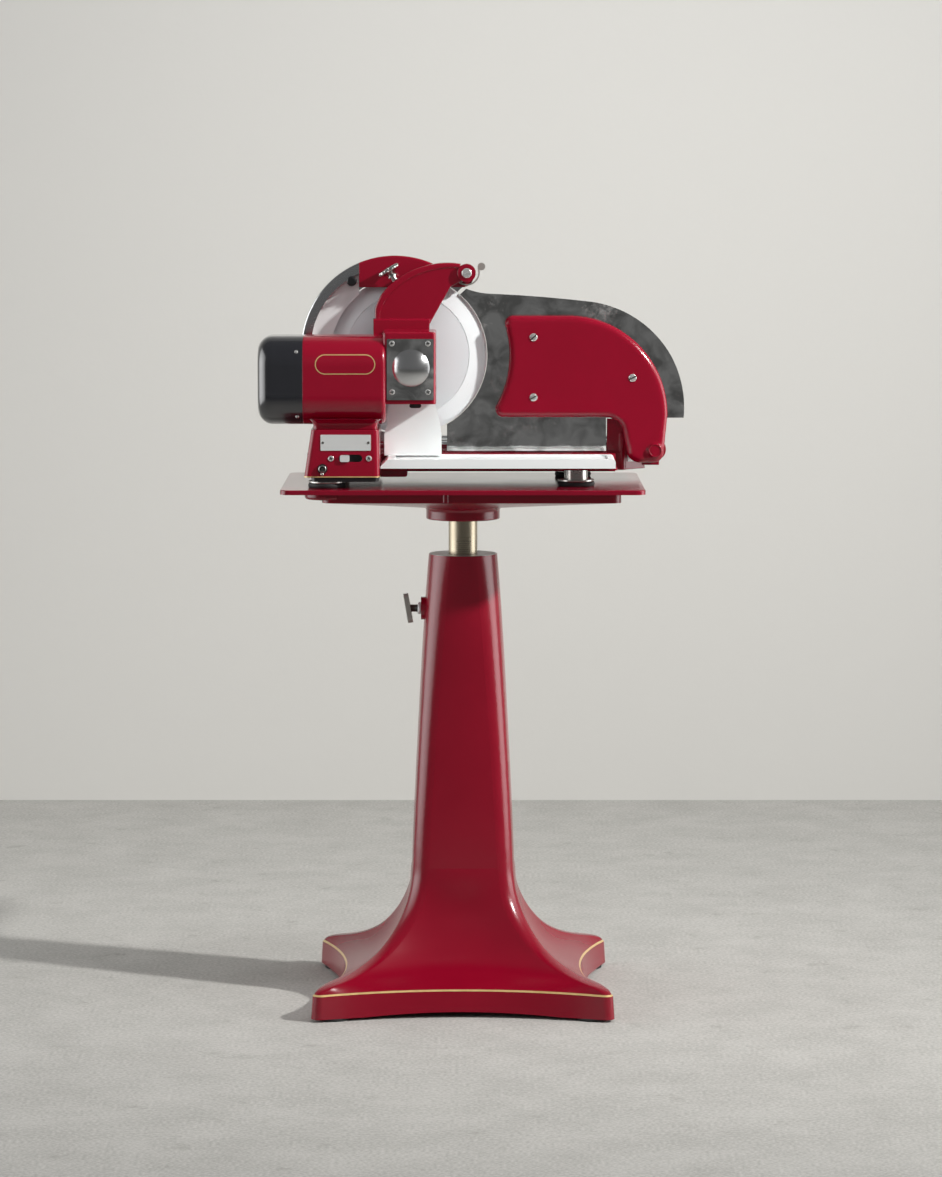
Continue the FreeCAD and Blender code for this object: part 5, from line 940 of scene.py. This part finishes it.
# ================================================================ sub-assemblies
@dataclass
class Pedestal:
    """Cast column and foot, its pads, pinstripe, machined top and lock screw."""

    rim_top: float = 47.0
    stripe: float = 3.0
    stripe_margin: float = 0.1
    chamfer_lean: Pair = (0.3, 0.97)
    line_lift: float = 0.12
    column_top: float = 777.0
    top_radius: float = 57.6
    bore_radius: float = 25.7
    skin: float = 0.3
    lock_z: float = 681.0
    boss_edge: float = 15.0
    lock_radius: float = 6.0
    clearance: float = 0.05
    collar_sink: float = 0.4
    collar: tuple[Pair, ...] = ((9.8, 0.0), (10.4, 1.0), (10.4, 3.6), (8.6, 5.2))
    threads: int = 6
    pitch: float = 2.2
    thread_start: float = 5.4
    thread_depth: float = 0.75

    def build(self) -> None:
        """Dresses the nodes and adds the painted and machined surfaces."""
        dress(RED, "pedestal_column")
        dress(POST_STEEL, "lift_post")
        dress(WORN_STEEL, "lock_screw")
        dress(RUBBER, *(f"floor_pad_{i}" for i in range(1, 5)))
        band = MeshKit.skin_of("pedestal_column", self.rim_top - self.stripe + self.stripe_margin,
                               self.rim_top - self.stripe_margin, self._on_chamfer,
                               self.line_lift)
        add_piece("rim_pinstripe", band, GOLD, "pedestal")
        face = bmesh.new()
        top, above = self.column_top, self.column_top + self.skin
        MeshKit.lathe(face, [(self.bore_radius, top), (self.bore_radius, above),
                             (self.top_radius, above), (self.top_radius, top)],
                      Vector((0, 0, 0)), Z_AXIS, segments=128)
        add_piece("column_top_face", face, CAST_IRON, "pedestal")
        self._lock_thread()

    def _on_chamfer(self, at: Vector, normal: Vector) -> bool:
        """Says whether a face belongs to the chamfer round the foot's rim."""
        return self.chamfer_lean[0] < normal.z < self.chamfer_lean[1]

    def _lock_thread(self) -> None:
        """Adds the bright collar against the boss, and the lock screw's thread."""
        eye = Vector((-OUTSIDE, 0, self.lock_z + self.boss_edge))
        seat = surface_of("pedestal_column").ray_cast(eye, X_AXIS)[0]
        start = Vector((seat.x - self.collar_sink, 0, self.lock_z))
        inner = self.lock_radius + self.clearance
        collar = bmesh.new()
        MeshKit.lathe(collar, [(inner, 0.0), *self.collar, (inner, self.collar[-1][1]),
                               (inner, 0.0)], start, -X_AXIS, segments=40)
        add_piece("lock_collar", collar, BRIGHT_SHEET, "lock_screw")
        profile = [(inner, self.thread_start)]
        for i in range(self.threads):
            at = self.thread_start + i * self.pitch
            profile += [(inner, at), (inner + self.thread_depth, at + self.pitch * 0.5)]
        profile.append((inner, self.thread_start + self.threads * self.pitch))
        thread = bmesh.new()
        MeshKit.lathe(thread, profile, start, -X_AXIS, segments=32)
        add_piece("lock_thread", thread, BOLT_STEEL, "lock_screw", crease=20.0)


@dataclass
class StandTable:
    """Table plate on its cast cradle."""

    def build(self) -> None:
        """Dresses the table's nodes."""
        dress(TABLE_RED, "stand_table")
        dress(RED, "table_cradle")
        dress(BOLT_STEEL, "hub_set_screw_1", "hub_set_screw_2")


@dataclass
class MachineBase:
    """Base casting with its feet, switches, plate and gold line."""

    front: float = -165.0
    line_low: float = 922.2
    line_high: float = 924.2
    line_lift: float = 0.12
    line_back: float = -40.0
    line_right: float = -130.0
    tower_left: float = -262.0
    tower_right: float = -148.0
    tower_front: float = -150.0
    switch_screws: tuple[Pair, ...] = ((-223.7, 954.4), (-159.5, 954.7))
    rivets: tuple[Pair, ...] = ((-237.5, 981.5), (-160.2, 981.5))
    rating_face: float = -166.0
    toggle: Pair = (-238.3, 936.8)
    bezel: float = 3.0
    nut_bore: float = 4.6
    nut_profile: tuple[Pair, ...] = ((6.4, 0.0), (6.4, 1.8), (5.7, 2.4))
    corner_screw_aside: float = 11.0
    corner_sight: float = 60.0
    lean: float = 0.3
    switch_head: Screw = Screw(5.0, 2.2, Drive.CROSS, 25.0)
    rivet_head: Screw = Screw(2.1, 1.1, Drive.PLAIN)
    corner_head: Screw = Screw(3.4, 1.4, Drive.CROSS, 20.0)

    def build(self) -> None:
        """Dresses the nodes and adds the fittings."""
        dress(RED_SMOOTH, "machine_base")
        dress(BLACK_PLASTIC, "base_bottom_cover", "switch_body", "toggle_bezel", "cable_gland")
        dress(PLATE, "rating_plate", "switch_slider")
        dress(WORN_CHROME, "toggle_lever")
        dress(BRIGHT_SHEET, "corner_plate")
        for place in ("front_left", "front_right", "rear_left", "rear_right"):
            dress(RUBBER, f"foot_rubber_{place}")
            dress(WORN_CHROME, f"foot_ring_{place}")
        line = MeshKit.skin_of("machine_base", self.line_low, self.line_high, self._on_tower,
                               self.line_lift)
        add_piece("tower_gold_line", line, GOLD, "table")
        for i, (x, z) in enumerate(self.switch_screws, 1):
            self.switch_head.place(f"switch_screw_{i}", Vector((x, self.front, z)))
        # The rivets take the dark blackened steel as painted shade: it stands in for the shading
        # that shows them as dark marks on the pale plate.
        for i, (x, z) in enumerate(self.rivets, 1):
            self.rivet_head.place(f"plate_rivet_{i}", Vector((x, self.rating_face, z)),
                                  finish=BOLT_STEEL)
        self._toggle_nut()
        self._corner_screw()

    def _on_tower(self, at: Vector, normal: Vector) -> bool:
        """Says whether a face belongs to the outside of the tower.

        Args:
            at: Middle of the face.
            normal: Its normal.

        Returns:
            True for a face that the gold line goes over.
        """
        outward = normal.y < -self.lean or abs(normal.x) > self.lean
        outside = (at.y < self.tower_front or at.x < self.tower_left
                   or at.x > self.tower_right)
        return outward and outside and at.y < self.line_back and at.x < self.line_right

    def _toggle_nut(self) -> None:
        """Adds the nut round the toggle."""
        x, z = self.toggle
        bm = bmesh.new()
        bore, thick = self.nut_bore, self.nut_profile[-1][1]
        MeshKit.lathe(bm, [(bore, 0.0), *self.nut_profile, (bore, thick), (bore, 0.0)],
                      Vector((x, self.front - self.bezel, z)), FRONT, segments=36)
        add_piece("toggle_nut", bm, WORN_CHROME, "table")

    def _corner_screw(self) -> None:
        """Adds the screw at the left of the oblique corner's plate."""
        out = Vector((1, -1, 0)).normalized()
        right = Vector((1, 1, 0)).normalized()
        aside = middle_of("corner_plate") - right * self.corner_screw_aside
        at = surface_of("corner_plate").ray_cast(aside + out * self.corner_sight, -out)[0]
        self.corner_head.place("corner_screw", at, out)


@dataclass
class Head:
    """Motor housing, gear case and arm, with cap, cover, dome, clamp knob and capsule line."""

    capsule: tuple[float, float, float, float] = (-249.7, -149.0, 1098.0, 1130.3)
    capsule_line: float = 1.7
    line_lift: float = 0.15
    arc_steps: int = 28
    run_steps: int = 24
    cap_screws: tuple[Pair, ...] = ((-282.3, 1135.2), (-281.1, 1024.8))
    cover_screws: tuple[Pair, ...] = ((-120.4, 1149.1), (-59.1, 1149.0), (-120.0, 1066.8),
                                      (-59.1, 1066.8))
    cover_face: float = -153.0
    clamp_angle: float = 121.5
    clamp_foot: Pair = (-116.01, 1250.98)
    clamp_stem: tuple[Pair, ...] = ((0.0, -15.4), (5.0, -15.4), (5.0, 8.8), (8.0, 9.0),
                                    (8.3, 10.2), (7.9, 11.8), (5.6, 12.0))
    clamp_head: tuple[Pair, ...] = ((6.2, 13.0), (9.0, 15.6), (13.0, 18.0), (17.0, 19.6),
                                    (19.0, 20.2), (19.7, 21.0), (19.7, 24.2), (18.6, 25.6),
                                    (15.6, 26.4), (11.0, 27.2), (10.2, 26.8), (6.0, 27.4),
                                    (0.0, 27.9))
    clamp_notches: int = 12
    notch_root: float = 14.0
    notch_reach: float = 5.6
    notch_depth: float = 2.0
    cover_head: Screw = Screw(4.9, 2.2, Drive.CROSS, 10.0)
    cap_head: Screw = Screw(3.3, 1.5, Drive.SLOT, 70.0)

    def build(self) -> None:
        """Dresses the nodes and adds the fittings."""
        dress(RED_SMOOTH, "head_casting")
        dress(GLOSS_BLACK, "motor_end_cap")
        dress(MIRROR, "gear_cover")
        dress(DOME, "sight_dome")
        dress(SCREW_STEEL, "pivot_pin")
        dress(WORN_STEEL, "guard_lever")
        dress(BOLT_STEEL, "motor_stator")
        dress(SPINDLE_STEEL, "worm_shaft", "worm_wheel")
        self._clamp_knob()
        self._capsule()
        for i, (x, z) in enumerate(self.cover_screws, 1):
            self.cover_head.place(f"cover_screw_{i}", Vector((x, self.cover_face, z)))
        self._cap_screws()

    def _clamp_knob(self) -> None:
        """Replaces the clamp knob by one with an umbrella head and a scalloped rim."""
        turn = math.radians(self.clamp_angle)
        axis = Vector((math.cos(turn), 0, math.sin(turn)))
        foot = Vector((self.clamp_foot[0], middle_of("clamp_knob").y, self.clamp_foot[1]))
        bm = bmesh.new()
        verts = MeshKit.lathe(bm, self.clamp_stem + self.clamp_head, foot, axis, segments=144)
        u, v, a = MeshKit.frame_of(axis)
        for vert in verts:
            arm = vert.co - foot
            arm -= a * arm.dot(a)
            if arm.length > self.notch_root:
                t = math.atan2(arm.dot(v), arm.dot(u))
                depth = self.notch_depth * (arm.length - self.notch_root) / self.notch_reach
                dip = max(0.0, math.cos(self.clamp_notches * t)) ** 3 * depth
                vert.co -= arm.normalized() * dip
        add_piece("clamp_knob_turned", bm, DARK_CHROME, "clamp_knob",
                  ("clamp_knob",), crease=40.0)

    def _capsule(self) -> None:
        """Lays the gold capsule line on the motor housing."""
        x0, x1, z0, z1 = self.capsule
        r, middle = (z1 - z0) / 2, (z0 + z1) / 2
        left, right = x0 + r, x1 - r
        stations = []
        for here, there, start in ((right, left, -90), (left, right, 90)):
            stations += [(here, start + 180 * i / self.arc_steps)
                         for i in range(self.arc_steps + 1)]
            stations += [(here + (there - here) * j / self.run_steps, start + 180)
                         for j in range(1, self.run_steps)]
        surface = surface_of("head_casting")
        bm = bmesh.new()
        loops = []
        for centre, degrees in stations:
            t = math.radians(degrees)
            pair = []
            for edge in (-0.5, 0.5):
                reach = r + edge * self.capsule_line
                x, z = centre + reach * math.cos(t), middle + reach * math.sin(t)
                hit = surface.ray_cast(Vector((x, -OUTSIDE, z)), Y_AXIS)[0]
                pair.append(bm.verts.new((x, hit.y - self.line_lift, z)))
            loops.append(pair)
        for here, after in zip(loops, loops[1:] + loops[:1]):
            bm.faces.new((here[0], here[1], after[1], after[0]))
        add_piece("capsule_line", bm, GOLD, "table")

    def _cap_screws(self) -> None:
        """Sets small screws into the end cap's side, square to its surface."""
        surface = surface_of("motor_end_cap")
        for side, name in ((-1, "front"), (1, "rear")):
            for i, (x, z) in enumerate(self.cap_screws, 1):
                at, normal, *_ = surface.ray_cast(Vector((x, side * OUTSIDE, z)),
                                                  -side * Y_AXIS)
                self.cap_head.place(f"cap_screw_{name}_{i}", at, normal)


@dataclass
class KnifeUnit:
    """Knife with its spindle and cap.

    The groove and the back are steps (outwards, backwards) from the edge of its flat face.
    """

    radius: float = 137.5
    face: float = 2.0
    face_radius: float = 107.0
    edge: float = 13.5
    edge_thick: float = 0.4
    edge_wide: float = 3.0
    bore: float = 12.5
    web: float = 3.5
    groove: tuple[Pair, ...] = ((-1.2, 0.0), (-1.1, 1.4), (0.0, 1.4), (0.4, 0.3))
    back: tuple[Pair, ...] = ((8.0, 8.0), (-8.0, 3.5))
    bevel_rings: tuple[float, ...] = (2.0, 10.0, 20.0)
    polish: float = 0.08
    polish_margins: Pair = (1.6, 1.4)

    def build(self) -> None:
        """Dresses the spindle and replaces the knife by one with its groove and edge."""
        dress(CHROME, "knife_shaft", "knife_cap")
        centre = Vector(KNIFE_CENTRE)
        f, r, flat = self.face, self.radius, self.face_radius
        slope = (self.edge - f) / (r - flat)
        profile = [(self.bore, f)]
        profile += [(flat + out, f + deep) for out, deep in self.groove]
        profile += [(flat + out, f + out * slope) for out in self.bevel_rings]
        profile += [(r - self.edge_wide, self.edge - self.edge_wide * slope), (r, self.edge),
                    (r, self.edge + self.edge_thick)]
        profile += [(flat + out, f + deep) for out, deep in self.back]
        profile += [(self.bore, f + self.web), (self.bore, f)]
        disc = bmesh.new()
        MeshKit.lathe(disc, profile, centre, Y_AXIS, segments=192)
        add_piece("knife_disc", disc, BLADE, "knife", ("knife",), crease=14.0)
        lift, (inner, outer) = f - self.polish, self.polish_margins
        polished = bmesh.new()
        MeshKit.lathe(polished, [(self.bore, f), (self.bore, lift), (flat - inner, lift),
                                 (flat - outer, f)], centre, Y_AXIS, segments=160)
        add_piece("knife_face", polished, FACE, "knife")


@dataclass
class Guard:
    """Knife guard: polished ring, satin crescent, red top cover and latch."""

    def build(self) -> None:
        """Dresses the guard's nodes."""
        dress(GUARD_STEEL, "guard_ring")
        dress(CRESCENT_STEEL, "guard_crescent")
        dress(RED_SMOOTH, "guard_top_cover")
        dress(BLACK_PLASTIC, "guard_latch")


@dataclass
class Gauge:
    """Gauge plate on its red casting, with its screws, shaft and index knob."""

    front: float = -22.0
    screws: tuple[Triple, ...] = ((121.9, 1154.0, 40.0), (122.1, 1050.3, 30.0),
                                  (293.5, 1084.0, 25.0))
    lobe: Pair = (333.0, 958.0)
    ring_radius: float = 10.4
    ring_thick: float = 1.2
    ring_steps: int = 72
    head: Screw = Screw(6.8, 2.6, Drive.SLOT)

    def build(self) -> None:
        """Dresses the nodes and adds the screws and the ring on the lobe."""
        dress(MIRROR, "gauge_plate")
        dress(RED_ROLLED, "gauge_casting")
        dress(CHROME, "gauge_shaft")
        dress(BLACK_PLASTIC, "index_knob")
        for i, (x, z, turn) in enumerate(self.screws, 1):
            replace(self.head, turn=turn).place(f"gauge_screw_{i}",
                                                Vector((x, self.front, z)), body="gauge")
        x, z = self.lobe
        radius = self.ring_radius
        face = surface_of("gauge_casting").ray_cast(Vector((x + radius, -OUTSIDE, z)), Y_AXIS)[0]
        turns = (2 * math.pi * i / self.ring_steps for i in range(self.ring_steps))
        path = [Vector((x + radius * math.cos(t), face.y, z + radius * math.sin(t)))
                for t in turns]
        bm = bmesh.new()
        MeshKit.hoop(bm, path, self.ring_thick, sides=14)
        add_piece("lobe_ring", bm, RED_SMOOTH, "gauge")


@dataclass
class ReceivingSide:
    """Tray and slice deflector, with a black rubber plug in its slot as painted shade."""

    slot: Pair = (-82.0, 1037.8)
    slot_half: float = 6.0
    slot_radius: float = 4.25
    arc_steps: int = 12
    plug: Pair = (-57.2, -56.1)

    def build(self) -> None:
        """Dresses the receiving side's nodes and adds the plug, painted shade in the slot."""
        dress(BRIGHT_SHEET, "receiving_tray", "slice_deflector")
        x, z = self.slot
        outline = []
        for side, start in ((1, -90), (-1, 90)):
            for i in range(self.arc_steps + 1):
                t = math.radians(start + 180 * i / self.arc_steps)
                outline.append((x + side * self.slot_half + self.slot_radius * math.cos(t),
                                z + self.slot_radius * math.sin(t)))
        # The black plug fills the slot where only shade shows through: painted shade.
        bm = bmesh.new()
        MeshKit.slab(bm, outline, *self.plug)
        add_piece("slot_shade_plug", bm, RUBBER, "table")


@dataclass
class Carriage:
    """Carriage with its rods, bed, fence, handle and product pusher."""

    def build(self) -> None:
        """Dresses the carriage's nodes."""
        dress(CHROME, "carriage_rod", "carriage_rail", "push_rod", "pusher_plate")
        dress(CAST_ALUMINIUM, "carriage_block", "carriage_fence", "pusher_arm")
        dress(BRIGHT_SHEET, "carriage_bed")
        dress(BLACK_PLASTIC, "carriage_handle")


# ================================================================ studio
@dataclass(frozen=True)
class SoftBox:
    """Area light aimed at a point, in metres."""

    name: str
    at: Triple
    aim: Triple
    width: float
    height: float
    watts: float
    colour: str = "FFFFFF"
    spread: float = 180.0
    mirrored: bool = True

    def build(self) -> None:
        """Makes the light."""
        data = bpy.data.lights.new(self.name, "AREA")
        data.shape = "RECTANGLE"
        data.size, data.size_y = self.width, self.height
        data.energy = self.watts
        data.color = linear(self.colour)[:3]
        data.spread = math.radians(self.spread)
        lamp = bpy.data.objects.new(self.name, data)
        lamp.location = self.at
        aim = Vector(self.aim) - Vector(self.at)
        lamp.rotation_euler = aim.to_track_quat("-Z", "Y").to_euler()
        lamp.visible_camera = False
        lamp.visible_glossy = self.mirrored
        bpy.context.scene.collection.objects.link(lamp)


@dataclass
class Studio:
    """Floor, wall, lights, world and camera, in metres."""

    wall_y: float = 2.15
    half_width: float = 9.0
    wall_height: float = 7.0
    floor_front: float = -9.0
    eye: Triple = (0.0139, -7.0, 1.4566)
    pitch: float = 6.045
    lens: float = 123.44
    sensor: float = 36.0
    sight: float = 100.0
    room: float = 0.15
    lights: tuple[SoftBox, ...] = (
        SoftBox("key", (4.2, -1.99, 3.74), (0.0, 0.0, 0.7), 0.22, 0.22, 47.0, "FFFDFA",
                spread=70.0),
        SoftBox("front_fill", (-0.6, -5.6, 3.2), (0.0, 0.0, 0.9), 3.0, 1.8, 5.0, spread=80.0,
                mirrored=False),
        SoftBox("left_window", (-3.3, -0.2, 1.5), (0.0, -0.2, 1.3), 3.9, 3.1, 34.0,
                spread=90.0),
        SoftBox("right_window", (3.4, 0.1, 1.5), (0.0, 0.1, 1.3), 2.4, 3.0, 21.0, spread=90.0),
        SoftBox("wall_wash", (1.6, -1.5, 5.6), (0.9, 2.15, 2.6), 3.5, 1.0, 98.0,
                mirrored=False),
        SoftBox("wall_top", (1.2, -0.3, 4.0), (1.2, 2.15, 1.6), 4.0, 0.6, 7.0, spread=60.0,
                mirrored=False),
    )

    def build(self) -> None:
        """Makes the stage."""
        left, right, back, top = -self.half_width, self.half_width, self.wall_y, self.wall_height
        self._sheet("floor", FLOOR, (left, self.floor_front, 0), (right, self.floor_front, 0),
                    (right, back, 0), (left, back, 0))
        self._sheet("wall", WALL, (left, back, 0), (right, back, 0), (right, back, top),
                    (left, back, top))
        for light in self.lights:
            light.build()
        self._world()
        self._camera()

    def _sheet(self, name: str, finish: Finish, *corners: Triple) -> None:
        """Makes one flat stage surface.

        Args:
            name: Name of the surface.
            finish: Its finish.
            corners: Its four corners, counter-clockwise as seen.
        """
        mesh = bpy.data.meshes.new(name)
        mesh.from_pydata(corners, [], [(0, 1, 2, 3)])
        mesh.materials.append(finish.material())
        sheet = bpy.data.objects.new(name, mesh)
        bpy.context.scene.collection.objects.link(sheet)

    def _world(self) -> None:
        """Makes the dim even light of the room."""
        world = bpy.data.worlds.new("studio")
        world.use_nodes = True
        tree = world.node_tree
        tree.nodes.clear()
        room = add_node(tree, "ShaderNodeBackground",
                        {"Color": linear("FFFFFF"), "Strength": self.room})
        add_node(tree, "ShaderNodeOutputWorld", links={"Surface": room.outputs["Background"]})
        bpy.context.scene.world = world

    def _camera(self) -> None:
        """Makes the camera."""
        data = bpy.data.cameras.new("camera")
        data.lens = self.lens
        data.sensor_width = self.sensor
        data.clip_end = self.sight
        camera = bpy.data.objects.new("camera", data)
        camera.location = self.eye
        camera.rotation_euler = (math.radians(90 - self.pitch), 0, 0)
        bpy.context.scene.collection.objects.link(camera)
        bpy.context.scene.camera = camera


def main() -> None:
    """Builds the sub-assemblies and the studio in order."""
    logging.basicConfig(level=logging.INFO, format="%(message)s")
    for part in (Pedestal(), StandTable(), MachineBase(), Head(), KnifeUnit(), Guard(), Gauge(),
                 ReceivingSide(), Carriage(), Studio()):
        LOG.info("building %s", type(part).__name__)
        part.build()
    bpy.context.scene.view_settings.view_transform = "Standard"


if __name__ == "__main__":
    main()
